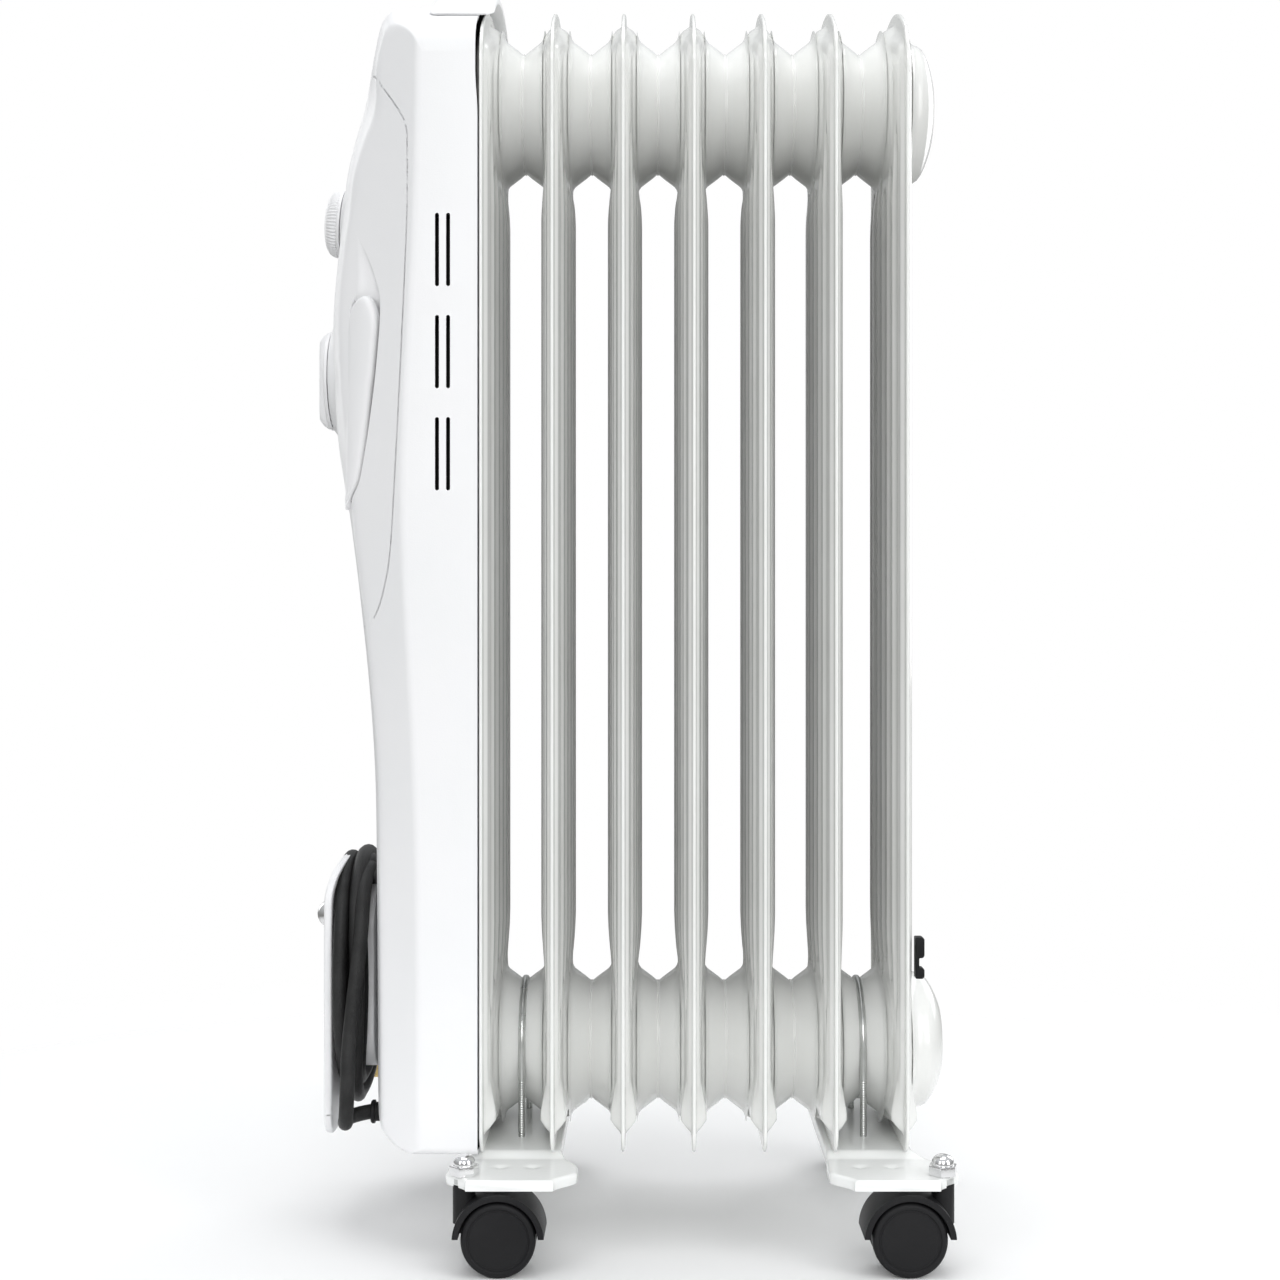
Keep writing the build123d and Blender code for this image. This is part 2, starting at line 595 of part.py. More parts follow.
def make_casters():
    hood, wheels = caster_hood(), caster_wheels()
    axle = rod_y(-WHEEL_GAP - 7.5, WHEEL_GAP + 7.5, AXLE_RADIUS)
    spots = {
        "front_left": (CASTER_STEMS_X[0], -CASTER_Y, 0),
        "front_right": (CASTER_STEMS_X[0], CASTER_Y, 0),
        "rear_left": (CASTER_STEMS_X[1], -CASTER_Y, 180),
        "rear_right": (CASTER_STEMS_X[1], CASTER_Y, 180),
    }
    for name, (x, y, turn) in spots.items():
        place = Pos(x, y, 0) * Rot(0, 0, turn)
        hub = place * Pos(CASTER_TRAIL, 0, WHEEL_RADIUS)
        parts[f"caster_hood_{name}"] = place * hood
        parts[f"caster_wheels_{name}"] = hub * wheels
        parts[f"caster_axle_{name}"] = hub * axle


# ---------------------------------------------------------------- cord and winder
def stadium(half_y, z_low, z_high, x_low, x_high):
    """An upright oval block between two X planes."""
    height = z_high - z_low
    oval = SlotOverall(height, 2 * half_y, rotation=90)
    face = facing_x(Pos(0, (z_low + z_high) / 2) * oval, x_low)
    return extrude(face, x_high - x_low, dir=(1, 0, 0))


def make_cord():
    plate_x = WINDER_PLATE_X
    z_low, z_high = WINDER_PLATE_Z
    flange = box_between((plate_x[0], -WINDER_HALF, z_low), (plate_x[1], WINDER_HALF, z_high))
    flange = fillet(flange.edges().filter_by(Axis.X), 22)
    parts["winder_plate"] = flange - rod_x(-165, -150, 2.6, z=WINDER_SCREW_Z)

    hole_low = COIL_Z[0] + COIL_HALF - COIL_HOLE_HALF
    hole_high = COIL_Z[1] - COIL_HALF + COIL_HOLE_HALF
    post = stadium(COIL_HOLE_HALF - 2, hole_low + 2, hole_high - 2, plate_x[1], -134.6)
    parts["winder_post"] = post - rod_x(-165, -138, 2.1, z=WINDER_SCREW_Z)

    reach = plate_x[0] - CONTROL_END_X
    dome = scale(Sphere(SCREW_HEAD), (1, 1, reach / SCREW_HEAD))
    head = Pos(plate_x[0], 0, WINDER_SCREW_Z) * Rot(0, -90, 0) * dome
    head &= box_between((CONTROL_END_X, -9, 150), (plate_x[0], 9, 180))
    parts["winder_screw"] = head + rod_x(plate_x[0], -140, 2.0, z=WINDER_SCREW_Z)

    coil = stadium(COIL_HALF, *COIL_Z, *COIL_X)
    hole = stadium(COIL_HOLE_HALF, hole_low, hole_high, COIL_X[0] - 1, COIL_X[1] + 1)
    parts["cord_coil"] = coil - hole

    radius = CORD_DIAMETER / 2
    start = LEAD_ROUTE[0]
    gland = rod_x(-136.0, -133.9, 6.2, y=start[1], z=start[2])
    gland += rod_x(-134.2, -124.0, 5.0, y=start[1], z=start[2])
    parts["cord_gland"] = gland
    parts["cord_lead"] = tube(LEAD_ROUTE, radius)
    parts["cord_tail"] = tube(TAIL_ROUTE, radius)
    for name, route in (("lead", LEAD_ROUTE), ("tail", TAIL_ROUTE)):
        print(name, "radii", [round(bend, 1) for bend in path_radii(route)])

    body_top = PLUG_TOP_Z - PLUG_RELIEF
    relief = Pos(PLUG_X, PLUG_Y, body_top + PLUG_RELIEF / 2) * Cone(6.6, 4.6, PLUG_RELIEF)
    width, breadth, height = PLUG_BODY
    face_z = body_top - height
    block = Pos(PLUG_X, PLUG_Y, face_z + height / 2) * Box(width, breadth, height)
    block = fillet(block.edges().filter_by(Axis.Z), 6)
    block = chamfer(block.faces().sort_by(Axis.Z)[-1].edges(), 4)
    pins = []
    for step in (-1, 0, 1):
        y = PLUG_Y + step * PIN_SPACING
        pin = rod_z(face_z - PIN_LENGTH, face_z, PIN_RADIUS, x=PLUG_X, y=y)
        pins.append(pin + rod_z(face_z, face_z + PIN_ROOT, ROOT_RADIUS, x=PLUG_X, y=y))
        block -= rod_z(face_z - 1, face_z + PIN_ROOT, ROOT_RADIUS + PRESS_FIT, x=PLUG_X, y=y)
    parts["plug_body"] = relief + block
    parts["plug_pins"] = as_group(pins)


def make_clip():
    """A small moulded clip with two lobes on the outer face of the last fin."""
    face_x = fin_x[-1] + EDGE_HALF + 1.2
    clip = box_between((face_x, -70, 139), (face_x + 1.8, -62, 160))
    for z_low, z_high in ((139, 144.5), (149.5, 160)):
        lobe = box_between((face_x, -70, z_low), (face_x + 4.6, -62, z_high))
        clip += fillet(lobe.faces().sort_by(Axis.X)[-1].edges(), 1.6)
    parts["rear_clip"] = clip


for make in (
    make_fins, make_heater, make_housing, make_electrics, make_knobs, make_feet, make_casters,
    make_cord, make_clip,
):
    make()

os.makedirs("parts", exist_ok=True)
for name, shape in parts.items():
    export_step(shape, f"parts/{name}.step")
print(len(parts), "nodes")
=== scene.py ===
import json
from math import cos, pi, radians, sin, sqrt

import bmesh
import bpy
import numpy as np
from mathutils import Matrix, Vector


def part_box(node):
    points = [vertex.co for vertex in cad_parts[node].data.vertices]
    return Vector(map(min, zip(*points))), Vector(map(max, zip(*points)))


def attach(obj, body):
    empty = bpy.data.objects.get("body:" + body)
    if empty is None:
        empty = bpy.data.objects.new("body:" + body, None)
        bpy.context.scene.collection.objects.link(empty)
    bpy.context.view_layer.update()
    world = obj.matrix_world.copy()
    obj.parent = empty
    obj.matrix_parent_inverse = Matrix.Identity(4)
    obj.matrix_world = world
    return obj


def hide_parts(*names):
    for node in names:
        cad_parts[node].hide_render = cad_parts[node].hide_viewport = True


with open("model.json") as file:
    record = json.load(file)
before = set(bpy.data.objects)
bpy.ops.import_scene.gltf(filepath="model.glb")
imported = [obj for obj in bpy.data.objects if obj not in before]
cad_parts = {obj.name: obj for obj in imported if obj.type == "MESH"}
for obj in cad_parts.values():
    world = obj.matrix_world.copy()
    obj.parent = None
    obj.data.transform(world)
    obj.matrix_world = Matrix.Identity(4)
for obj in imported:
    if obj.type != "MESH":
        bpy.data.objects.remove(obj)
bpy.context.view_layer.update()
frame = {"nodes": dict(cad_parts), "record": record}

# Oil filled radiator heater: the looks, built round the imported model.  Lengths in the builders
# below are millimetres in the frame of the CAD, and mesh_object() turns them into metres.
MM = 0.001
ROOT = "root"


def centre_of(node):
    low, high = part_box(node)
    return (low + high) / 2 / MM


# ---------------------------------------------------------------- camera, floor and light
def make_camera():
    data = bpy.data.cameras.new("camera")
    data.sensor_width = 36.0
    data.lens = 54.8
    data.shift_x, data.shift_y = -0.0084, 0.0094
    camera = bpy.data.objects.new("camera", data)
    camera.location = (0.0125, -1.059, 0.305)
    camera.rotation_euler = (radians(90), 0, 0)
    bpy.context.collection.objects.link(camera)
    bpy.context.scene.camera = camera


# Name, place and size in metres, and power in watts.
SOFT_BOXES = (
    ("box_left", (-1.8, -2.3, 1.2), (1.0, 2.0), 12),
    ("box_middle", (0.1, -2.7, 1.3), (1.0, 1.6), 24),
    ("box_right", (2.3, -1.7, 1.1), (1.2, 2.2), 23),
    ("box_top", (0, 0, 2.9), (2.0, 2.0), 29),
    ("box_back_left", (-2.0, 2.0, 1.2), (1.3, 2.0), 12),
    ("box_back_right", (2.0, 2.0, 1.2), (1.3, 2.0), 20),
)


def area_light(name, location, size, power):
    """A soft box that looks at the middle of the heater."""
    data = bpy.data.lights.new(name, "AREA")
    data.shape = "RECTANGLE"
    data.size, data.size_y = size
    data.energy = power
    lamp = bpy.data.objects.new(name, data)
    lamp.location = location
    aim = Vector((0, 0, 0.33)) - Vector(location)
    lamp.rotation_euler = aim.to_track_quat("-Z", "Y").to_euler()
    bpy.context.collection.objects.link(lamp)


def make_world():
    """White to the camera, and a softer studio gradient for light and reflections."""
    world = bpy.data.worlds.new("studio")
    bpy.context.scene.world = world
    world.use_nodes = True
    nodes, links = world.node_tree.nodes, world.node_tree.links
    nodes.clear()
    out = nodes.new("ShaderNodeOutputWorld")
    mix = nodes.new("ShaderNodeMixShader")
    path = nodes.new("ShaderNodeLightPath")
    seen = nodes.new("ShaderNodeBackground")
    lit = nodes.new("ShaderNodeBackground")
    ramp = nodes.new("ShaderNodeValToRGB")
    split = nodes.new("ShaderNodeSeparateXYZ")
    place = nodes.new("ShaderNodeTexCoord")
    span = nodes.new("ShaderNodeMapRange")
    span.inputs["From Min"].default_value = -1.0
    links.new(place.outputs["Generated"], split.inputs[0])
    links.new(split.outputs["Z"], span.inputs["Value"])
    links.new(span.outputs["Result"], ramp.inputs["Fac"])
    ramp.color_ramp.elements[0].color = (0.34, 0.34, 0.33, 1)
    ramp.color_ramp.elements[0].position = 0.42
    ramp.color_ramp.elements[1].color = (0.88, 0.90, 0.92, 1)
    ramp.color_ramp.elements[1].position = 0.85
    links.new(ramp.outputs["Color"], lit.inputs["Color"])
    lit.inputs["Strength"].default_value = 0.8
    seen.inputs["Color"].default_value = (1, 1, 1, 1)
    seen.inputs["Strength"].default_value = 1.0
    links.new(path.outputs["Is Camera Ray"], mix.inputs["Fac"])
    links.new(lit.outputs[0], mix.inputs[1])
    links.new(seen.outputs[0], mix.inputs[2])
    links.new(mix.outputs[0], out.inputs["Surface"])


def make_floor():
    """A pale floor that fades into the white surround away from the heater."""
    bpy.ops.mesh.primitive_plane_add(size=3)
    floor = bpy.context.object
    floor.name = "floor"
    shade = bpy.data.materials.new("floor_paper")
    shade.use_nodes = True
    nodes, links = shade.node_tree.nodes, shade.node_tree.links
    skin = nodes["Principled BSDF"]
    skin.inputs["Base Color"].default_value = (0.86, 0.86, 0.86, 1)
    skin.inputs["Roughness"].default_value = 0.7
    place = nodes.new("ShaderNodeTexCoord")
    reach = nodes.new("ShaderNodeVectorMath")
    reach.operation = "LENGTH"
    fade = nodes.new("ShaderNodeMapRange")
    fade.interpolation_type = "SMOOTHSTEP"
    fade.inputs["From Min"].default_value = 0.25
    fade.inputs["From Max"].default_value = 0.85
    clear = nodes.new("ShaderNodeBsdfTransparent")
    mix = nodes.new("ShaderNodeMixShader")
    links.new(place.outputs["Object"], reach.inputs[0])
    links.new(reach.outputs["Value"], fade.inputs["Value"])
    links.new(fade.outputs["Result"], mix.inputs["Fac"])
    links.new(skin.outputs[0], mix.inputs[1])
    links.new(clear.outputs[0], mix.inputs[2])
    links.new(mix.outputs[0], nodes["Material Output"].inputs["Surface"])
    floor.data.materials.append(shade)


make_camera()
make_world()
make_floor()
for name, location, size, power in SOFT_BOXES:
    area_light(name, location, size, power)
bpy.context.scene.view_settings.view_transform = "Standard"


# ---------------------------------------------------------------- materials
def surface(name, colour, second, roughness, grain=0.02, grain_scale=900.0, blotch_scale=14.0,
            metallic=0.0, coat=0.0, specular=0.5, brushed=None):
    """A finish with two near colours, a fine grain in its bump and a drifting roughness."""
    shade = bpy.data.materials.new(name)
    shade.use_nodes = True
    nodes, links = shade.node_tree.nodes, shade.node_tree.links
    skin = nodes["Principled BSDF"]
    skin.inputs["Metallic"].default_value = metallic
    skin.inputs["Coat Weight"].default_value = coat
    skin.inputs["Coat Roughness"].default_value = 0.08
    skin.inputs["Specular IOR Level"].default_value = specular
    place = nodes.new("ShaderNodeTexCoord")
    blotch = nodes.new("ShaderNodeTexNoise")
    blotch.inputs["Scale"].default_value = blotch_scale
    blotch.inputs["Detail"].default_value = 3.0
    links.new(place.outputs["Object"], blotch.inputs["Vector"])
    tint = nodes.new("ShaderNodeValToRGB")
    tint.color_ramp.elements[0].color = (*second, 1)
    tint.color_ramp.elements[0].position = 0.35
    tint.color_ramp.elements[1].color = (*colour, 1)
    tint.color_ramp.elements[1].position = 0.62
    links.new(blotch.outputs["Fac"], tint.inputs["Fac"])
    links.new(tint.outputs["Color"], skin.inputs["Base Color"])
    fine = nodes.new("ShaderNodeTexNoise")
    fine.inputs["Scale"].default_value = grain_scale
    fine.inputs["Detail"].default_value = 2.0
    if brushed:
        stretch = nodes.new("ShaderNodeMapping")
        stretch.inputs["Scale"].default_value = brushed
        links.new(place.outputs["Object"], stretch.inputs["Vector"])
        links.new(stretch.outputs["Vector"], fine.inputs["Vector"])
    else:
        links.new(place.outputs["Object"], fine.inputs["Vector"])
    rough = nodes.new("ShaderNodeMapRange")
    rough.inputs["To Min"].default_value = roughness * 0.8
    rough.inputs["To Max"].default_value = roughness * 1.25
    links.new(blotch.outputs["Fac"], rough.inputs["Value"])
    links.new(rough.outputs["Result"], skin.inputs["Roughness"])
    bump = nodes.new("ShaderNodeBump")
    bump.inputs["Strength"].default_value = grain
    bump.inputs["Distance"].default_value = 0.001
    links.new(fine.outputs["Fac"], bump.inputs["Height"])
    links.new(bump.outputs["Normal"], skin.inputs["Normal"])
    return shade


FINISH = {
    "fin_enamel": surface("fin_enamel", (0.86, 0.865, 0.85), (0.82, 0.825, 0.805), 0.20, 0.05, 420,
                          coat=0.35),
    "housing_plastic": surface("housing_plastic", (0.87, 0.87, 0.88), (0.855, 0.86, 0.87), 0.34,
                               0.05, 1500),
    "knob_plastic": surface("knob_plastic", (0.86, 0.86, 0.87), (0.84, 0.84, 0.85), 0.38, 0.06,
                            1800),
    "foot_enamel": surface("foot_enamel", (0.87, 0.88, 0.87), (0.84, 0.85, 0.84), 0.22, 0.05, 420,
                           coat=0.3),
    "zinc_steel": surface("zinc_steel", (0.62, 0.63, 0.62), (0.50, 0.51, 0.50), 0.28, 0.15, 700,
                          60, metallic=1.0, brushed=(1, 1, 0.15)),
    "chrome": surface("chrome", (0.80, 0.80, 0.80), (0.72, 0.72, 0.73), 0.10, 0.03, 900, 80,
                      metallic=1.0),
    "bare_steel": surface("bare_steel", (0.55, 0.55, 0.56), (0.45, 0.45, 0.46), 0.35, 0.2, 800,
                          50, metallic=1.0, brushed=(0.1, 1, 1)),
    "brass": surface("brass", (0.72, 0.55, 0.26), (0.62, 0.46, 0.20), 0.25, 0.1, 900, 60,
                     metallic=1.0),
    "black_plastic": surface("black_plastic", (0.014, 0.014, 0.015), (0.010, 0.010, 0.011), 0.42,
                             0.12, 1600, specular=0.16),
    "dark_plastic": surface("dark_plastic", (0.05, 0.05, 0.052), (0.035, 0.035, 0.037), 0.45,
                            0.15, 1400),
    "cord_rubber": surface("cord_rubber", (0.022, 0.022, 0.022), (0.014, 0.014, 0.014), 0.42,
                           0.35, 1300, 90, specular=0.28),
    "seal": surface("seal", (0.10, 0.10, 0.10), (0.07, 0.07, 0.07), 0.7, 0.4, 900),
    "wire": surface("wire", (0.40, 0.24, 0.10), (0.30, 0.18, 0.08), 0.5, 0.2, 1500),
}


def paint_groove_shade(shade, colour):
    """Mix painted shade, a dark grey tone, into the base colour where the piece's groove attribute
    says so.
    """
    nodes, links = shade.node_tree.nodes, shade.node_tree.links
    base = nodes["Principled BSDF"].inputs["Base Color"]
    tint = base.links[0].from_socket
    mark = nodes.new("ShaderNodeAttribute")
    mark.attribute_name = "groove"
    mix = nodes.new("ShaderNodeMixRGB")
    mix.inputs["Color2"].default_value = (*colour, 1)
    links.new(mark.outputs["Fac"], mix.inputs["Fac"])
    links.new(tint, mix.inputs["Color1"])
    links.new(mix.outputs["Color"], base)


# Painted shade down in the fins' pressed grooves.
paint_groove_shade(FINISH["fin_enamel"], (0.24, 0.24, 0.22))
# Near-black material for painted shade on the housing's sunk back, the seam gap, the vent walls
# and the hollows behind the leaves.
PAINTED_SHADE_INSIDE = surface("painted_shade_inside", (0.012, 0.012, 0.012), (0.008, 0.008, 0.008), 0.8, 0.2, 800)


# ---------------------------------------------------------------- mesh helpers
def mesh_object(name, points, faces, slot, body=ROOT, replaces=(), sharp=32.0, painted_shade=None):
    """A piece from points in millimetres.  The flag list picks the faces that get the near-black
    painted shade material.
    """
    mesh = bpy.data.meshes.new(name)
    mesh.from_pydata([tuple(c * MM for c in p) for p in points], [], [tuple(f) for f in faces])
    mesh.materials.append(FINISH[slot])
    if painted_shade is not None:
        mesh.materials.append(PAINTED_SHADE_INSIDE)
        mesh.polygons.foreach_set("material_index", [int(d) for d in painted_shade])
    piece = bpy.data.objects.new(name, mesh)
    bpy.context.collection.objects.link(piece)
    outward(mesh)
    smooth(mesh, sharp)
    if body:
        place(piece, slot, body, replaces)
    return piece


def outward(mesh):
    """Weld the mesh and face it outwards."""
    work = bmesh.new()
    work.from_mesh(mesh)
    bmesh.ops.remove_doubles(work, verts=work.verts, dist=1e-6)
    bmesh.ops.recalc_face_normals(work, faces=work.faces)
    work.to_mesh(mesh)
    work.free()


def smooth(mesh, sharp):
    mesh.polygons.foreach_set("use_smooth", [True] * len(mesh.polygons))
    mesh.set_sharp_from_angle(angle=radians(sharp))


def place(piece, slot, body, replaces=()):
    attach(piece, body)
    if replaces:
        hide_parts(*replaces)


def merged(shapes):
    """Several (points, faces) shapes as one."""
    points, faces = [], []
    for more_points, more_faces in shapes:
        start = len(points)
        points += list(more_points)
        faces += [tuple(start + i for i in face) for face in more_faces]
    return points, faces


def sheet_faces(rows, columns, start=0):
    """Quads of a grid of points."""
    return [
        (start + r * columns + c, start + r * columns + c + 1,
         start + (r + 1) * columns + c + 1, start + (r + 1) * columns + c)
        for r in range(rows - 1) for c in range(columns - 1)
    ]


def two_faced(front, back):
    """A closed solid between two (rows, columns, 3) grids that share their outline."""
    rows, columns = front.shape[:2]
    count = rows * columns
    points = np.concatenate([front.reshape(-1, 3), back.reshape(-1, 3)])
    faces = sheet_faces(rows, columns) + sheet_faces(rows, columns, count)
    edge = ([c for c in range(columns)]
            + [r * columns + columns - 1 for r in range(1, rows)]
            + [(rows - 1) * columns + c for c in range(columns - 2, -1, -1)]
            + [r * columns for r in range(rows - 2, 0, -1)])
    for a, b in zip(edge, edge[1:] + edge[:1]):
        faces.append((a, b, b + count, a + count))
    return points, faces


def rings(loops):
    """Skin over a list of closed loops, capped at both ends."""
    size = len(loops[0])
    points = [p for loop in loops for p in loop]
    faces = []
    for r in range(len(loops) - 1):
        a, b = r * size, (r + 1) * size
        faces += [(a + i, a + (i + 1) % size, b + (i + 1) % size, b + i) for i in range(size)]
    faces.append(tuple(range(size)))
    faces.append(tuple((len(loops) - 1) * size + i for i in range(size)))
    return points, faces


def lathe(profile, origin, axis, segments=64, ripple=None):
    """Turn (distance along the axis, radius) points; ripple scales a radius by level and angle."""
    along = Vector(axis).normalized()
    side = along.orthogonal().normalized()
    if abs(along.z) < 0.9:
        side = along.cross(Vector((0, 0, 1))).normalized()
    other = along.cross(side)
    loops = []
    for level, (distance, radius) in enumerate(profile):
        loop = []
        for step in range(segments):
            angle = 2 * pi * step / segments
            r = radius * (ripple(level, angle) if ripple else 1.0)
            point = (Vector(origin) + along * distance
                     + side * (r * cos(angle)) + other * (r * sin(angle)))
            loop.append(tuple(point))
        loops.append(loop)
    return rings(loops)


def smoothstep(low, high, value):
    t = np.clip((value - low) / (high - low), 0.0, 1.0)
    return t * t * (3 - 2 * t)


def boolean(target, cutter, operation):
    """Apply one boolean and drop the cutter."""
    step = target.modifiers.new("cut", "BOOLEAN")
    step.operation = operation
    step.solver = "EXACT"
    step.object = cutter
    bpy.context.view_layer.update()
    graph = bpy.context.evaluated_depsgraph_get()
    result = bpy.data.meshes.new_from_object(target.evaluated_get(graph))
    target.modifiers.clear()
    target.data = result
    bpy.data.objects.remove(cutter, do_unlink=True)


# ---------------------------------------------------------------- mains cord on its winder
LEAD_ROUTE = [
    (-136.0, -24.0, 61.0), (-149.0, -30.0, 60.0), (-146.0, -47.0, 58.0),
    (-144.6, -51.0, 78.0), (-144.4, -48.0, 102.0),
]
TAIL_ROUTE = [
    (-144.0, 30.0, 194.5), (-143.8, 50.0, 184.5), (-143.6, 60.0, 166.0), (-143.6, 62.0, 146.0),
]
CORD_DIAMETER = 7.8
COIL_MIDDLE_Z = 130.0
COIL_STRAIGHT = 26.3
ARC_STEPS = 6
SPLINE_CUT = 0.966          # a quadratic spline runs this much inside points 30 degrees apart


def coil_turns():
    """Four turns, up the near side and down the far side, that drift between two layers."""
    near = [(42.5, -138.4), (29.0, -149.6), (29.0, -141.0), (37.4, -149.9), (38.6, -141.6)]
    far = [(29.0, -141.0), (29.0, -149.7), (37.2, -141.2), (37.4, -149.8)]
    points = []
    for turn in range(4):
        (w0, x0), (w1, x1), (w2, x2) = near[turn], far[turn], near[turn + 1]
        for step in range(ARC_STEPS + 1):
            share = step / ARC_STEPS
            angle = pi * (1 - share)
            w = (w0 + (w1 - w0) * smoothstep(0, 0.7, share)) / SPLINE_CUT
            x = x0 + (x1 - x0) * smoothstep(0.1, 0.9, share)
            points.append((x, w * cos(angle), COIL_MIDDLE_Z + COIL_STRAIGHT + w * sin(angle)))
        bow = 1.2 * (-1) ** turn
        points.append((x1 + 0.4 * bow, w1 / SPLINE_CUT + bow, COIL_MIDDLE_Z))
        for step in range(ARC_STEPS + 1):
            share = step / ARC_STEPS
            angle = pi * share
            w = (w1 + (w2 - w1) * share) / SPLINE_CUT
            x = x1 + (x2 - x1) * share
            points.append((x, w * cos(angle), COIL_MIDDLE_Z - COIL_STRAIGHT - w * sin(angle)))
        points.append((x2 - 0.5 * bow, -w2 / SPLINE_CUT - bow, COIL_MIDDLE_Z))
    w, x = near[4]
    for share in (0.0, 1 / 6, 2 / 6, 3 / 6):
        angle = pi * (1 - share)
        height = (w - 0.6 * share) / SPLINE_CUT
        points.append((x - 3 * share, height * cos(angle),
                       COIL_MIDDLE_Z + COIL_STRAIGHT + height * sin(angle)))
    return points


def make_cord():
    curve = bpy.data.curves.new("mains_cord", "CURVE")
    curve.dimensions = "3D"
    curve.bevel_depth = CORD_DIAMETER / 2 * MM
    curve.bevel_resolution = 5
    curve.use_fill_caps = True
    spline = curve.splines.new("NURBS")
    points = LEAD_ROUTE + coil_turns() + TAIL_ROUTE
    spline.points.add(len(points) - 1)
    for control, (x, y, z) in zip(spline.points, points):
        control.co = (x * MM, y * MM, z * MM, 1)
    spline.order_u = 3
    spline.use_endpoint_u = True
    spline.resolution_u = 8
    curve.materials.append(FINISH["cord_rubber"])
    cord = bpy.data.objects.new("mains_cord", curve)
    bpy.context.collection.objects.link(cord)
    place(cord, "cord_rubber", ROOT, ("cord_coil", "cord_lead", "cord_tail"))
    return cord


def oval(z, half_x, half_y, power, x=0.0, y=0.0, steps=48):
    """A level superellipse: power 2 is an ellipse, and more is squarer."""
    loop = []
    for step in range(steps):
        c, s = cos(2 * pi * step / steps), sin(2 * pi * step / steps)
        loop.append((x + half_x * np.sign(c) * abs(c) ** (2 / power),
                     y + half_y * np.sign(s) * abs(s) ** (2 / power), z))
    return loop


def make_plug():
    """Moulded plug: a ribbed sleeve that swells into a flat grip with rounded corners."""
    x, y, top = TAIL_ROUTE[-1]
    loops = [oval(top, 4.3, 4.3, 2, x, y)]
    for rib in range(6):
        z, r = top - 1.5 - 3.6 * rib, 4.7 + 0.22 * rib
        for drop, radius in ((0, r), (1.6, r), (1.9, r - 0.7), (3.2, r - 0.7)):
            loops.append(oval(z - drop, radius, radius, 2, x, y))
    shoulder = top - 26.0
    for drop, half_x, half_y, power in (
        (0.0, 5.9, 6.6, 2.2), (3.0, 6.8, 10.5, 2.6), (6.5, 7.6, 14.0, 3.2),
        (10.0, 8.0, 15.6, 4.0), (22.0, 7.3, 15.2, 4.0), (30.0, 7.8, 15.7, 4.0),
        (36.6, 8.0, 16.0, 4.5), (37.6, 7.6, 15.6, 4.5), (38.0, 6.8, 14.8, 4.5),
    ):
        loops.append(oval(shoulder - drop, half_x, half_y, power, x, y))
    points, faces = rings(loops)
    return mesh_object("plug_moulding", points, faces, "cord_rubber", ROOT, ("plug_body",), 50)


def make_gland():
    """Collar of the cord's bush, flush with the housing's lower front."""
    x, y, z = LEAD_ROUTE[0]
    profile = [(12, 5.0), (2.4, 5.0), (2.2, 6.2), (0.8, 6.2), (0.2, 5.6), (0.0, 4.4)]
    points, faces = lathe(profile, (x, y, z), (1, 0, 0), 40)
    return mesh_object("cord_bush", points, faces, "black_plastic", ROOT, ("cord_gland",))


cord = make_cord()
plug = make_plug()
gland = make_gland()


# ---------------------------------------------------------------- oil fins
class Arch:
    """A tall outline with a crowned top and rounded corners, symmetric about Y = 0."""

    def __init__(self, half, bottom, top, crown, corner_top, corner_bottom):
        self.half, self.bottom, self.top, self.crown = half, bottom, top, crown
        self.corner_top, self.corner_bottom = corner_top, corner_bottom
        self.crown_z = top - crown
        self.corner_y = half - corner_top
        self.corner_z = self.crown_z + sqrt((crown - corner_top) ** 2 - self.corner_y ** 2)
        self.crown_reach = self.corner_y * crown / (crown - corner_top)

    def upper(self, y):
        y = np.abs(y)
        crown = self.crown_z + np.sqrt(np.maximum(self.crown ** 2 - y ** 2, 0))
        past = np.clip(y - self.corner_y, 0, self.corner_top)
        corner = self.corner_z + np.sqrt(self.corner_top ** 2 - past ** 2)
        return np.where(y <= self.crown_reach, crown, corner)

    def lower(self, y):
        past = np.clip(np.abs(y) - self.half + self.corner_bottom, 0, self.corner_bottom)
        return self.bottom + self.corner_bottom - np.sqrt(self.corner_bottom ** 2 - past ** 2)

    def inset(self, y, z):
        """Distance in from the outline."""
        y = np.abs(y)
        side = self.half - y
        base_y = self.half - self.corner_bottom
        base_z = self.bottom + self.corner_bottom
        base = self.corner_bottom - np.hypot(y - base_y, z - base_z)
        base = np.where((y > base_y) & (z < base_z), base, np.minimum(side, z - self.bottom))
        crown = np.where(z > self.crown_z, self.crown - np.hypot(y, z - self.crown_z), side)
        corner = self.corner_top - np.hypot(y - self.corner_y, z - self.corner_z)
        beyond = (z > self.corner_z) & (
            y * (self.corner_z - self.crown_z) > self.corner_y * (z - self.crown_z))
        upper = np.where(beyond, corner, np.minimum(side, crown))
        return np.maximum(np.where(z < self.crown_z, base, upper), 0.0)

    def grid(self, columns, rows, bend_from, bend_to):
        """Y and Z of a grid whose lowest and highest rows follow the outline."""
        y, z = np.meshgrid(columns, rows)
        raise_by = np.clip((z - bend_to) / (self.top - bend_to), 0, 1)
        lower_by = np.clip((bend_from - z) / (bend_from - self.bottom), 0, 1)
        z = z + raise_by * (self.upper(y) - self.top) + lower_by * (self.lower(y) - self.bottom)
        return y, z


FIN = Arch(75.0, 50.0, 646.0, 110.0, 24.0, 12.0)
FIN_PITCH = 36.0
FIN_FACE = 7.0              # half thickness over the oil channels
GROOVES = (-2, -1, 0, 1, 2)
GROOVE_MIDDLE = 32.0        # of the five grooves on each side of the fin's centre line
GROOVE_SPACING = 12.0
GROOVE_DEPTH = 4.6
GROOVE_HALF = 4.6
GROOVE_ENDS = ((152, 540), (143, 548), (133, 562))     # middle groove, its neighbours, outer two
HEADER_HEIGHTS = (95.0, 596.5)


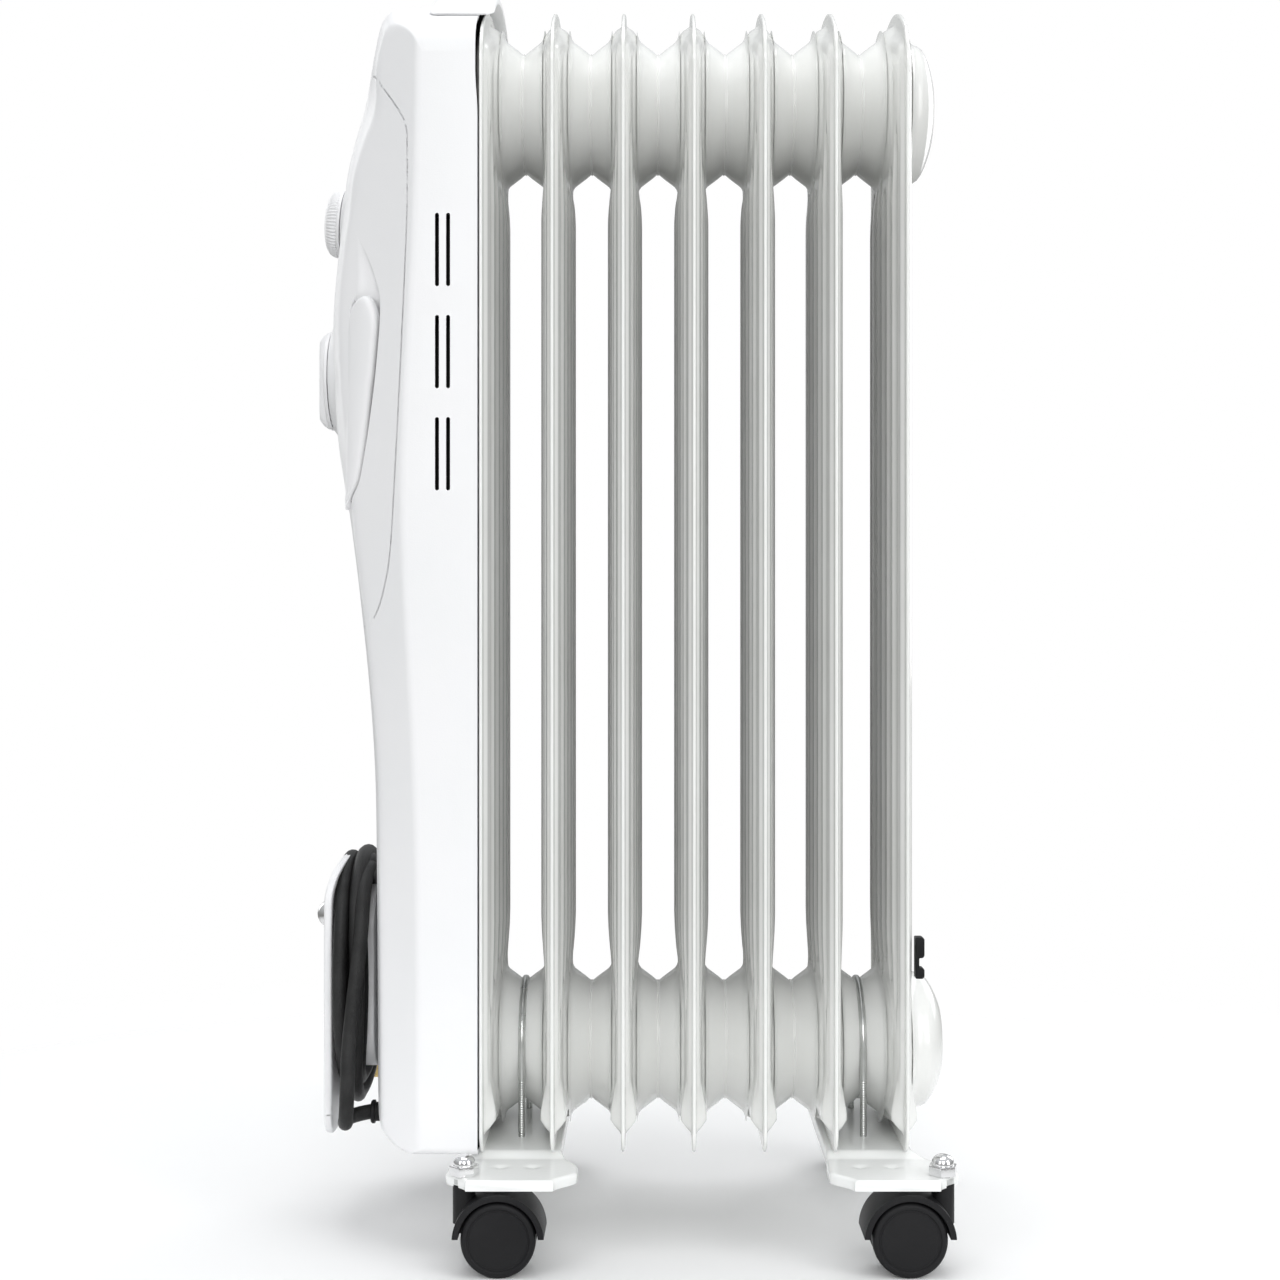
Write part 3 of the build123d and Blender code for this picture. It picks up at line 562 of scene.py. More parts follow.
def mirrored(values):
    """The values with their negatives, in order."""
    values = sorted(set(round(abs(v), 4) for v in values))
    return np.array([-v for v in reversed(values) if v > 0] + values)


def fin_columns():
    rim = (0, 0.5, 1.2, 2.6, 4.3, 5.2, 6.2, 7.2, 8.4, 9.6, 12, 13.6)
    values = [FIN.half - d for d in rim] + [0, 2.5]
    for index in GROOVES:
        line = GROOVE_MIDDLE + GROOVE_SPACING * index
        values += [line + o for o in (-6, -5, -4.2, -3.4, -2.6, -1.6, 0, 1.6, 2.6, 3.4, 4.2, 5)]
    return mirrored(values)


def fin_rows():
    low = [50, 50.5, 51.5, 53, 55, 57, 58.5, 60, 61.5, 63, 65, 68, 72, 78, 86, 96, 108, 120]
    low += list(np.arange(126, 158, 2.0)) + [164, 180, 215, 255, 300, 348, 396, 444, 485, 515]
    high = list(np.arange(532, 572, 2.0)) + [576, 584, 593, 602, 610, 617, 623, 628, 632, 635]
    high += [637, 638.5, 640, 641.3, 642.6, 644, 645, 645.6, 646]
    return np.array(low + high, float)


def groove_share(y, z):
    """How deep in a pressed groove a point is, from 0 to 1."""
    share = np.zeros_like(y)
    for index in GROOVES:
        bottom, top = GROOVE_ENDS[abs(index)]
        line = GROOVE_MIDDLE + GROOVE_SPACING * index
        beyond = np.maximum(np.maximum(z - top, bottom - z), 0) * 0.45
        away = np.hypot(np.abs(y) - line, beyond)
        share = np.maximum(share, 1 - smoothstep(0.3, GROOVE_HALF, away))
    return share


def fin_half_thickness(y, z):
    """Flat welded rim, a pressed step, then the swell over the channels with its grooves."""
    inset = FIN.inset(y, z)
    end = smoothstep(95, 62, z) + smoothstep(600, 634, z)
    flange = 1.0 - 0.45 * smoothstep(0.9, 0.0, inset)
    step = 1.8 * smoothstep(4.6 + 4 * end, 8.6 + 2.5 * end, inset)
    across = 1 - np.clip(np.abs(y) / 68, 0, 1) ** 1.5
    swell = 4.2 * np.maximum(across, end) * smoothstep(5 + 5 * end, 16, inset)
    swell = swell + 2.3 * across * smoothstep(125, 165, z) * smoothstep(570, 535, z)
    thickness = flange + step + swell
    for middle in HEADER_HEIGHTS:
        boss = 1 - smoothstep(39, 50, np.hypot(y, z - middle))
        thickness = thickness + (FIN_FACE + 0.2 - thickness) * boss * (inset > 6)
    return thickness - GROOVE_DEPTH * groove_share(y, z)


def make_fins():
    y, z = FIN.grid(fin_columns(), fin_rows(), 70.0, 560.0)
    thickness = fin_half_thickness(y, z)
    front = np.stack([-thickness, y, z], axis=-1)
    back = np.stack([thickness, y, z], axis=-1)
    points, faces = two_faced(front, back)
    first = mesh_object("fin_pressing_1", points, faces, "fin_enamel", None, sharp=70)
    spots = np.empty(3 * len(first.data.vertices))
    first.data.vertices.foreach_get("co", spots)
    spots = spots.reshape(-1, 3) / MM
    # The groove attribute says where the enamel gets its painted shade.
    groove = first.data.attributes.new("groove", "FLOAT", "POINT")
    groove.data.foreach_set("value", groove_share(spots[:, 1], spots[:, 2]))
    for number in range(1, 8):
        piece = first
        if number > 1:
            piece = bpy.data.objects.new(f"fin_pressing_{number}", first.data)
            bpy.context.collection.objects.link(piece)
        piece.location.x = centre_of(f"fin_{number}").x * MM
        place(piece, "fin_enamel", ROOT, (f"fin_{number}",))


def make_headers():
    """Pairs of pressed cones that meet in a weld, flared where they leave the fins."""
    half = [(11.3, 44.0), (10.9, 41.4), (10.2, 39.4), (9.2, 38.0), (7.8, 36.9), (6.0, 35.6),
            (3.0, 33.4), (1.2, 31.9), (0.6, 31.5), (0.4, 31.5), (0.25, 31.75), (0.0, 31.85)]
    profile = [(-x, r) for x, r in half] + [(x, r) for x, r in reversed(half[:-1])]
    for level in ("lower", "upper"):
        node = f"header_collars_{level}"
        z = centre_of(node).z
        shapes = []
        for number in range(1, 7):
            x = centre_of(f"fin_{number}").x + FIN_PITCH / 2
            shapes.append(lathe(profile, (x, 0, z), (1, 0, 0), 72))
        points, faces = merged(shapes)
        mesh_object(f"header_hubs_{level}", points, faces, "fin_enamel", ROOT, (node,), 24)


def make_rear_caps():
    for level in ("lower", "upper"):
        node = f"rear_cap_{level}"
        low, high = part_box(node)
        start, end = low.x / MM, high.x / MM
        z = (low.z + high.z) / 2 / MM
        depth = end - start
        profile = [(-0.3, 44.0), (0.1, 41.5), (1.0, 39.2), (2.4, 37.6), (4.0, 36.6), (6.0, 36.0),
                   (0.44 * depth, 35.6), (0.55 * depth, 34.6), (0.66 * depth, 32.4),
                   (0.78 * depth, 28.8), (0.88 * depth, 24.8), (0.95 * depth, 21.4),
                   (0.985 * depth, 19.4), (depth, 17.6), (depth, 9.0), (depth - 0.5, 6.0)]
        points, faces = lathe(profile, (start, 0, z), (1, 0, 0), 72)
        mesh_object(f"rear_dome_{level}", points, faces, "fin_enamel", ROOT, (node,), 40)


make_fins()
make_headers()
make_rear_caps()

# ---------------------------------------------------------------- control housing
HOUSING = Arch(76.5, 51.0, 650.0, 112.0, 24.0, 4.0)
RIM_BACK = -75.0            # the rim's rear edge comes close to the first fin
RECESS = -87.0
RIM_WALL = 1.9
FRONT_PROFILE = [           # height and X of the front, up the middle
    (51, -118), (51.6, -122), (53, -125.4), (56, -129.2), (60, -131.8), (66, -133), (110, -133.4),
    (205, -134), (247, -135), (290, -138), (333, -142.5), (354, -145), (375, -148), (397, -152.4),
    (418, -155.6), (450, -157.6), (482, -158), (514, -155.4), (537, -152.7), (557, -150.8),
    (578, -146), (599, -140), (621, -135.5), (632, -133.6), (638, -131.8), (642, -129),
    (645.2, -125), (647.4, -120), (648.8, -114), (649.6, -107), (650, -99),
]
CHEEK_TOP = (               # height and X where the cheeks roll over into the top
    (51, 621, 632, 640, 645, 647.5, 649, 649.7, 650),
    (-133, -135.5, -133.4, -131.6, -129, -126, -120, -112, -99),
)
SEAM = [
    (-165, 603), (-131, 603), (-122.6, 591), (-114.6, 578.8), (-112, 572.6), (-110.9, 565),
    (-110.8, 531), (-112.7, 481), (-115.7, 418), (-119.3, 360), (-123, 338), (-128, 324),
    (-134, 318), (-165, 318),
]
EDGE_FILLET = 8.0
CHEEK_SLOPE = 1.4           # the cheek's run in X for each millimetre in Y
KNOB_SEATS = (              # X, height, radius and slope of the seats under the knobs
    (-158.8, 452.0, 27.5, 0.0), (-153.2, 537.0, 19.0, 0.0875),
)


def spline_through(knots, per_span=8):
    """Points along a Catmull-Rom line through the knots."""
    knots = np.array(knots, float)
    padded = np.vstack([2 * knots[0] - knots[1], knots, 2 * knots[-1] - knots[-2]])
    line = []
    for i in range(len(knots) - 1):
        p0, p1, p2, p3 = padded[i:i + 4]
        for t in np.arange(per_span) / per_span:
            line.append(0.5 * (2 * p1 + (p2 - p0) * t + (2 * p0 - 5 * p1 + 4 * p2 - p3) * t ** 2
                               + (3 * p1 - p0 - 3 * p2 + p3) * t ** 3))
    return np.array(line + [knots[-1]])


FRONT_LINE = spline_through(FRONT_PROFILE, 6)


def front_x(height):
    return np.interp(height, FRONT_LINE[:, 0], FRONT_LINE[:, 1])


def facet_corner(z):
    """X where the flat side turns into the cheek; it moves forward round the controls."""
    return -105.0 - 8.0 * np.exp(-((z - 385) / 120) ** 2)


def facet_x(y, z):
    """The flat cheek that turns from the side towards the front, with a rolled edge."""
    corner = facet_corner(z)
    inward = HOUSING.half - np.abs(y)
    start = corner + 2.57
    roll = start - np.sqrt(np.maximum(EDGE_FILLET ** 2 - (EDGE_FILLET - inward) ** 2, 0))
    return np.where(inward < 1.49, roll, corner - CHEEK_SLOPE * inward)


def smooth_max(a, b, k):
    h = np.clip(0.5 + 0.5 * (a - b) / k, 0, 1)
    return b * (1 - h) + a * h + k * h * (1 - h)


def pod_x(y, z, seat):
    """Face of the raised seat under one knob, which falls away round its edge."""
    x, middle, radius, slope = seat
    away = np.hypot(y, z - middle)
    face = x + slope * (z - middle) + 12.0 * smoothstep(radius, radius + 9.0, away)
    return np.where(away < radius + 9.0, face, 0.0)


def housing_skin(y, z, nominal):
    """X of the outer skin: the crowned front, the seats, and the cheeks with their ridge."""
    crowned = smoothstep(360, 420, nominal) * smoothstep(625, 585, nominal)
    outer = smoothstep(20, 45, np.abs(y))
    front = front_x(nominal) * (1 - outer) + np.interp(nominal, *CHEEK_TOP) * outer
    front = np.where(nominal > 621, front, front_x(nominal))
    front = front + (1.8 + 1.6 * crowned) * (np.abs(y) / 30) ** 2
    for seat in KNOB_SEATS:
        front = -smooth_max(-front, -pod_x(y, z, seat), 1.2)
    ridge = 0.9 * np.exp(-((np.abs(y) - 34.5) / 1.3) ** 2)
    return smooth_max(front, facet_x(y, z), 3.0) - crowned * ridge


def housing_block():
    """Solid moulding whose back is sunk inside its rim, ready for the cuts."""
    fine = [76.5 - d for d in (0, 0.12, 0.35, 0.7, 1.1, 1.6, 1.95, 2.7, 3.6)]
    columns = mirrored(fine + list(np.arange(0, 72.5, 1.25)))
    rows = [51, 51.15, 51.5, 52, 52.8, 53.6, 54.5, 56, 58, 60.5, 63.5, 67, 72]
    rows += list(np.arange(80, 300, 8.0)) + list(np.arange(300, 620, 2.5))
    rows += list(np.arange(620, 640, 2.0))
    rows += [640, 641.5, 643, 644.3, 645.5, 646.6, 647.5, 648.2, 648.8, 649.2, 649.6, 649.85, 650]
    rows = np.array(rows)
    y, z = HOUSING.grid(columns, rows, 72.0, 480.0)
    nominal = np.repeat(rows[:, None], len(columns), axis=1)
    front = np.stack([housing_skin(y, z, nominal), y, z], axis=-1)
    inside = HOUSING.inset(y, z) > RIM_WALL + 0.01
    gape = 1.1 * smoothstep(576, 600, z) * smoothstep(640, 622, z)
    back = np.stack([np.where(inside, RECESS, RIM_BACK - gape), y, z], axis=-1)
    points, faces = two_faced(front, back)
    count = y.size
    # The faces of the sunk back inside the rim get painted shade.
    painted_shade = inside.reshape(-1)
    flags = [min(f) >= count and any(painted_shade[i - count] for i in f) for f in faces]
    return mesh_object("housing_skin", points, faces, "housing_plastic", None, painted_shade=flags)


def prism(name, outline, y_low, y_high, painted_shade=False):
    """A cutter from an outline in X and Z, run along Y, whose faces can carry near-black painted
    shade into the cut.
    """
    loops = [[(x, y, z) for x, z in outline] for y in (y_low, y_high)]
    points, faces = rings(loops)
    flags = [painted_shade] * len(faces)
    return mesh_object(name, points, faces, "housing_plastic", None, painted_shade=flags)


def seam_outline(growth):
    """The fascia's outline in X and Z, moved out by growth."""
    line = spline_through(SEAM[1:-1], 6)
    direction = np.gradient(line, axis=0)
    normal = np.stack([-direction[:, 1], direction[:, 0]], axis=1)
    normal /= np.linalg.norm(normal, axis=1)[:, None]
    line = line - growth * normal
    first = (-175, line[0][1] + growth)
    last = (-175, line[-1][1] - growth)
    return [first] + [tuple(p) for p in line] + [last]


def rounded_slot(x, z_low, z_high, half, steps=6):
    """Outline in X and Z of an upright slot with round ends."""
    outline = []
    for centre, start in ((z_high - half, 0), (z_low + half, pi)):
        for step in range(steps + 1):
            angle = start + pi * step / steps
            outline.append((x + half * cos(angle), centre + half * sin(angle)))
    return outline


# The raised leaf on each cheek, and the hollow behind it.
HOLLOW_BACK = [             # height and X of the hollow's rear edge
    (377, -145.2), (384, -141.8), (392, -137.2), (406, -134.2), (421, -131.6), (446, -128.2),
    (470, -126.0), (482, -125.6), (489, -126.3), (500, -129.6), (510, -133.8), (520, -138.8),
]
HOLLOW_LINE = spline_through(HOLLOW_BACK, 8)
LEAF_FRONT = -145.4
LEAF_LOW, LEAF_HIGH = 378.5, 488.0
CHEEK = Vector((-CHEEK_SLOPE, -1.0)).normalized()      # towards the front, in X and |Y|


def hollow_back(z):
    return np.interp(z, HOLLOW_LINE[:, 0], HOLLOW_LINE[:, 1])


def cheek_point(x, z, proud, side):
    """A point on the cheek at x and z, moved proud along the cheek's normal."""
    y = HOUSING.half - (facet_corner(z) - x) / CHEEK_SLOPE
    return (x + proud * CHEEK.y, side * (y - proud * CHEEK.x), z)


def hollow_cutter(side):
    rows = np.linspace(377.5, 519.5, 72)
    across = np.linspace(0, 1, 9)
    outer, inner = [], []
    for z in rows:
        back = hollow_back(z)
        front = min(back - 0.3, LEAF_FRONT + 2.4 + 4.0 * smoothstep(480, 492, z))
        depth = 8.5 * smoothstep(519.5, 470, z) * smoothstep(377.5, 392, z) + 0.05
        outer.append([cheek_point(back + (front - back) * t, z, 9.0, side) for t in across])
        fade = smoothstep(478, 490, z)
        inner.append([
            cheek_point(back + (front - back) * t, z,
                        0.02 - depth * (1 - smoothstep(0.1, 0.98, t) * fade), side)
            for t in across])
    points, faces = two_faced(np.array(outer), np.array(inner))
    spot = np.array(points)
    # The hollow's walls below the leaf's top get painted shade.
    painted_shade = [np.mean(spot[list(face), 2]) < 476 for face in faces]
    return mesh_object(f"hollow_{side}", points, faces, "housing_plastic", None, painted_shade=painted_shade)


def make_leaf(side):
    """A thin curved leaf, rounded along its rear edge and its top."""
    rows = list(np.linspace(LEAF_LOW, 470, 46)) + [
        LEAF_HIGH - 18 + 18 * sin(radians(a)) for a in range(6, 91, 6)]
    across = 0.5 - 0.5 * np.cos(np.linspace(0, pi, 19))
    outer, inner = [], []
    for z in rows:
        gap = 0.7 + 1.5 * smoothstep(390, 440, z)
        back = hollow_back(min(z, 470)) - gap
        front = LEAF_FRONT
        if z > 470:
            shrink = 1 - sqrt(max(1 - ((z - 470) / (LEAF_HIGH - 470)) ** 2, 0))
            middle = 0.42 * front + 0.58 * back
            back += (middle - back) * shrink
            front += (middle - front) * shrink
        front = min(front, back - 0.2)
        outer_row, inner_row = [], []
        for t in across:
            x = back + (front - back) * t
            edge = min(back - x, (LEAF_HIGH - z) * 0.9 + 0.05)
            roll = 2.2 * (1 - sqrt(max(1 - max(0, 1 - edge / 2.6) ** 2, 0)))
            rise = sin(pi * t) - roll - 0.7 * smoothstep(0.8, 1.0, t)
            outer_row.append(cheek_point(x, z, rise, side))
            inner_row.append(cheek_point(x, z, min(rise, -1.2) - 1.4, side))
        outer.append(outer_row)
        inner.append(inner_row)
    points, faces = two_faced(np.array(outer), np.array(inner))
    name = "leaf_near" if side < 0 else "leaf_far"
    mesh_object(name, points, faces, "housing_plastic", ROOT, sharp=60)


VENT_COLUMNS_X = (-95.3, -89.7)
VENT_TOP = 526.5
VENT_PITCH = 51.5
VENT_LENGTH = 37.0


def make_housing():
    """Cut the moulding into the shell and its fascia, with the hollows, vents and grip pocket."""
    shell = housing_block()
    for side in (-1, 1):
        boolean(shell, hollow_cutter(side), "DIFFERENCE")
    fascia = bpy.data.objects.new("fascia_skin", shell.data.copy())
    bpy.context.collection.objects.link(fascia)
    # The walls of the seam gap get painted shade.
    boolean(fascia, prism("seam_front", seam_outline(-0.4), -90, 90, True), "INTERSECT")
    boolean(shell, prism("seam_back", seam_outline(0.4), -90, 90, True), "DIFFERENCE")
    for side in (-1, 1):
        for group in range(3):
            for x in VENT_COLUMNS_X:
                top = VENT_TOP - VENT_PITCH * group
                slot = rounded_slot(x, top - VENT_LENGTH, top, 1.0)
                low, high = sorted((side * 66.0, side * 80.0))
                # The vent walls get painted shade.
                boolean(shell, prism("vent", slot, low, high, True), "DIFFERENCE")
    pocket = prism("pocket", [(-127, 606), (-90, 606), (-90, 670), (-127, 670)], -44, 44)
    boolean(shell, pocket, "DIFFERENCE")
    for piece, nodes in ((shell, ("housing_shell",)), (fascia, ("front_fascia", "control_pod"))):
        smooth(piece.data, 30)
        place(piece, "housing_plastic", ROOT, nodes)
    for side in (-1, 1):
        make_leaf(side)


CAP_CROWN = 96.0            # radius of the handle's arch


def make_handle():
    """The cap over the top of the housing, arched and rounded along its edges."""
    low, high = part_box("carry_handle")
    x_low, x_high = low.x / MM, high.x / MM
    half = high.y / MM
    loops = []
    stations = [half - d for d in (0, 0.4, 1.2, 2.6, 4.5)] + list(np.arange(56, -1, -4.0))
    for y in mirrored(stations):
        under = HOUSING.upper(np.array([y]))[0] + 0.5
        fall = smoothstep(half - 9.0, half, abs(y))
        over = high.z / MM - CAP_CROWN + sqrt(CAP_CROWN ** 2 - y ** 2)
        over = over + (under + 1.4 - over) * fall
        tip = max(0.0, abs(y) - (half - 4.5)) / 4.5
        narrow = 4.0 * (1 - sqrt(max(1 - tip ** 2, 0)))
        left = x_low + narrow + 3.0 + 5.0 * (1 - (y / half) ** 2)
        right = x_high - narrow
        r = min(2.6, over - under - 0.3)
        loop = [(left + 0.5, y, under), (left, y, under + 0.5), (left, y, over - r)]
        loop += [(left + r - r * cos(a), y, over - r + r * sin(a))
                 for a in (radians(22), radians(45), radians(67), radians(90))]
        loop += [(left + (right - left) * t, y, over) for t in (0.25, 0.5, 0.75)]
        loop += [(right - r + r * cos(a), y, over - r + r * sin(a))
                 for a in (radians(90), radians(67), radians(45), radians(22))]
        loop += [(right, y, over - r), (right, y, under + 0.5), (right - 0.5, y, under)]
        loops.append(loop)
    points, faces = rings(loops)
    mesh_object("handle_cap", points, faces, "housing_plastic", ROOT, ("carry_handle",), 45)


make_housing()
make_handle()

# ---------------------------------------------------------------- knobs
THERMOSTAT_SEAT, THERMOSTAT_AXIS = (-153.9, 0, 537), (-cos(radians(5)), 0, sin(radians(5)))
SELECTOR_SEAT, SELECTOR_AXIS = (-159.4, 0, 452), (-1, 0, 0)
KNURLS = 60


def make_thermostat_knob():
    profile = [(0.0, 17.2), (0.0, 18.0), (1.3, 18.0), (1.7, 17.3), (2.1, 17.4), (2.8, 17.6),
               (4.6, 17.2), (6.2, 16.3), (7.4, 15.0), (8.2, 13.6), (8.9, 11.2), (9.3, 8.0),
               (9.5, 4.0), (9.5, 1.0)]

    def knurl(level, angle):
        if not 4 <= level <= 7:
            return 1.0
        return 1.0 + 0.020 * cos(KNURLS * angle)

    points, faces = lathe(profile, THERMOSTAT_SEAT, THERMOSTAT_AXIS, KNURLS * 6, knurl)
    mesh_object("thermostat_dial", points, faces, "knob_plastic", "thermostat_control",
                ("thermostat_knob",), 28)


def make_selector_knob():
    base = [(0.0, 25.6), (0.0, 26.5), (1.4, 26.5), (2.0, 25.9), (2.2, 25.0), (2.2, 2.0)]
    shapes = [lathe(base, SELECTOR_SEAT, SELECTOR_AXIS, 96)]
    x, _, z = SELECTOR_SEAT
    loops = []
    for height, long, wide in ((1.8, 25.9, 6.5), (3.4, 25.6, 6.5), (4.8, 24.6, 6.4),
                               (6.0, 23.2, 6.2), (6.9, 21.9, 5.8), (7.3, 21.2, 5.2),
                               (7.4, 20.4, 4.4)):
        loops.append([(x - height, p[1], z + p[0]) for p in oval(0, long, wide, 6.0, steps=72)])
    shapes.append(rings(loops))
    mark = [[(x - h, a, z + 13 + b) for a, b in ((-0.5, -6), (0.5, -6), (0.5, 6), (-0.5, 6))]
            for h in (7.2, 7.55)]
    shapes.append(rings(mark))
    points, faces = merged(shapes)
    mesh_object("selector_grip", points, faces, "knob_plastic", "selector_control",
                ("selector_knob",), 35)


make_thermostat_knob()
make_selector_knob()

# ---------------------------------------------------------------- feet, bolts and nuts
FOOT_HALF_Y = 110.0
FOOT_LIP = 5.2
FOOT_SHEET = 1.5
FOOT_TOP = 47.4
STEMS_X = (-79.5, 156.5)
STEM_Y = 98.5


def foot_station(y, span, bolt_x, solid):
    """One cross-section of a foot: up the left lip, over the top and back underneath."""
    y_abs = abs(y)
    flare = smoothstep(58, 84, y_abs)
    corner = smoothstep(FOOT_HALF_Y - 16, FOOT_HALF_Y, y_abs) * 11.0
    left = bolt_x - 22 + (span[0] - bolt_x + 22) * flare + corner
    right = bolt_x + 22 + (span[1] - bolt_x - 22) * flare - corner
    rise = FOOT_TOP + 2.5 * (1 - smoothstep(60, 70, y_abs))
    sink = 1.3 * (1 - sqrt(max(1 - max(0, (y_abs - FOOT_HALF_Y + 1.6) / 1.6) ** 2, 0)))
    low = FOOT_TOP - FOOT_LIP
    roll = 1.6
    loop = [(left + FOOT_SHEET, y, low), (left + 0.2, y, low), (left, y, low + 0.3)]
    loop += [(left + roll * (1 - cos(a)), y, rise - sink - roll * (1 - sin(a)))
             for a in (0, radians(30), radians(60), radians(90))]
    width = right - left - 2 * roll
    for share in np.linspace(0, 1, 34)[1:-1]:
        x = left + roll + width * share
        dent = sum(0.9 * np.exp(-((x - bolt_x - d) ** 2 + (y_abs - 84) ** 2) / 7.0)
                   for d in (-7.0, 9.0))
        loop.append((x, y, rise - sink - dent))
    loop += [(right - roll * (1 - cos(a)), y, rise - sink - roll * (1 - sin(a)))
             for a in (radians(90), radians(60), radians(30), 0)]
    loop += [(right, y, low + 0.3), (right - 0.2, y, low), (right - FOOT_SHEET, y, low)]
    ceiling = low + 0.01 if solid else rise - FOOT_SHEET
    loop += [(right - FOOT_SHEET, y, ceiling), (left + FOOT_SHEET, y, ceiling)]
    return loop


def make_feet():
    for name, bolt in (("front", "u_bolt_front"), ("rear", "u_bolt_rear")):
        low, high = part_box(f"foot_plate_{name}")
        span = (low.x / MM, high.x / MM)
        bolt_x = centre_of(bolt).x
        edge = [FOOT_HALF_Y - d for d in (0, 0.3, 0.8, 1.5, 1.52)]
        stations = mirrored(edge + list(np.arange(56, 108, 1.25)) + [0, 20, 40])
        loops = [foot_station(y, span, bolt_x, abs(y) >= FOOT_HALF_Y - FOOT_SHEET)
                 for y in stations]
        points, faces = rings(loops)
        mesh_object(f"foot_pressing_{name}", points, faces, "foot_enamel", ROOT,
                    (f"foot_plate_{name}",), 40)


def make_ubolts():
    """Two threaded legs and a half turn over the header, swept as rings of sixteen points."""
    for name in ("front", "rear"):
        node = f"u_bolt_{name}"
        x = centre_of(node).x
        low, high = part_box(node)
        rod = 1.9
        reach = high.y / MM - rod
        path = [(-reach, z) for z in np.arange(low.z / MM, 80, 0.3125)]
        path += [(-reach, z) for z in (81, 84, 88, 92, 95)]
        path += [(-reach * cos(a), 95 + reach * sin(a)) for a in np.linspace(0, pi, 29)[1:-1]]
        path += [(-p[0], p[1]) for p in reversed(path[:-27])]
        loops = []
        for step, (y, z) in enumerate(path):
            before, after = path[max(step - 1, 0)], path[min(step + 1, len(path) - 1)]
            along = Vector((0, after[0] - before[0], after[1] - before[1])).normalized()
            side = along.cross(Vector((1, 0, 0)))
            thread = 0.22 * (step % 4 in (1, 2)) if z < 79.5 else 0.0
            r = rod - thread
            loops.append([
                tuple(Vector((x + r * cos(a), y, z)) + side * (r * sin(a)))
                for a in np.arange(16) * pi / 8])
        points, faces = rings(loops)
        mesh_object(f"u_bolt_rod_{name}", points, faces, "zinc_steel", ROOT, (node,), 50)


def nut_profile(level, angle):
    """Hexagon below, with its corners cut by a cone, and a round dome above."""
    if level > 6:
        return 1.0
    flat = cos(pi / 6) / cos((angle + pi / 6) % (pi / 3) - pi / 6)
    return flat if level in (1, 2, 3, 4) else min(flat, 0.93)


def make_acorn_nuts():
    shapes = []
    hexagon = [(0.0, 7.0), (0.3, 7.35), (0.7, 7.4), (4.3, 7.4), (4.8, 7.3), (5.1, 6.6), (5.1, 6.0)]
    dome = [(5.1, 5.5), (5.9, 5.5), (7.2, 5.3), (8.3, 4.7), (9.2, 3.7), (9.9, 2.2), (10.1, 0.6)]
    for x in STEMS_X:
        for y in (-STEM_Y, STEM_Y):
            shapes.append(lathe(hexagon + dome, (x, y, FOOT_TOP), (0, 0, 1), 72, nut_profile))
    points, faces = merged(shapes)
    mesh_object("acorn_caps", points, faces, "chrome", ROOT, ("acorn_nuts",), 25)


make_feet()
make_ubolts()
make_acorn_nuts()


# ---------------------------------------------------------------- casters
def refined(node, slot, body, width, name, sharp=30.0):
    """A copy of a CAD part with its edges rounded."""
    source = frame["nodes"][node]
    mesh = source.data.copy()
    mesh.transform(source.matrix_world)
    work = bmesh.new()
    work.from_mesh(mesh)
    bmesh.ops.remove_doubles(work, verts=work.verts, dist=1e-6)
    bmesh.ops.dissolve_limit(work, angle_limit=radians(1.5), verts=work.verts, edges=work.edges)
    work.to_mesh(mesh)
    work.free()
    mesh.materials.clear()
    mesh.materials.append(FINISH[slot])
    piece = bpy.data.objects.new(name, mesh)
    bpy.context.collection.objects.link(piece)
    bevel = piece.modifiers.new("edges", "BEVEL")
    bevel.width = width * MM
    bevel.segments = 3
    bevel.limit_method = "ANGLE"
    bevel.angle_limit = radians(35)
    bpy.context.view_layer.update()
    graph = bpy.context.evaluated_depsgraph_get()
    piece.data = bpy.data.meshes.new_from_object(piece.evaluated_get(graph))
    piece.modifiers.clear()
    smooth(piece.data, sharp)
    place(piece, slot, body, (node,))
    return piece


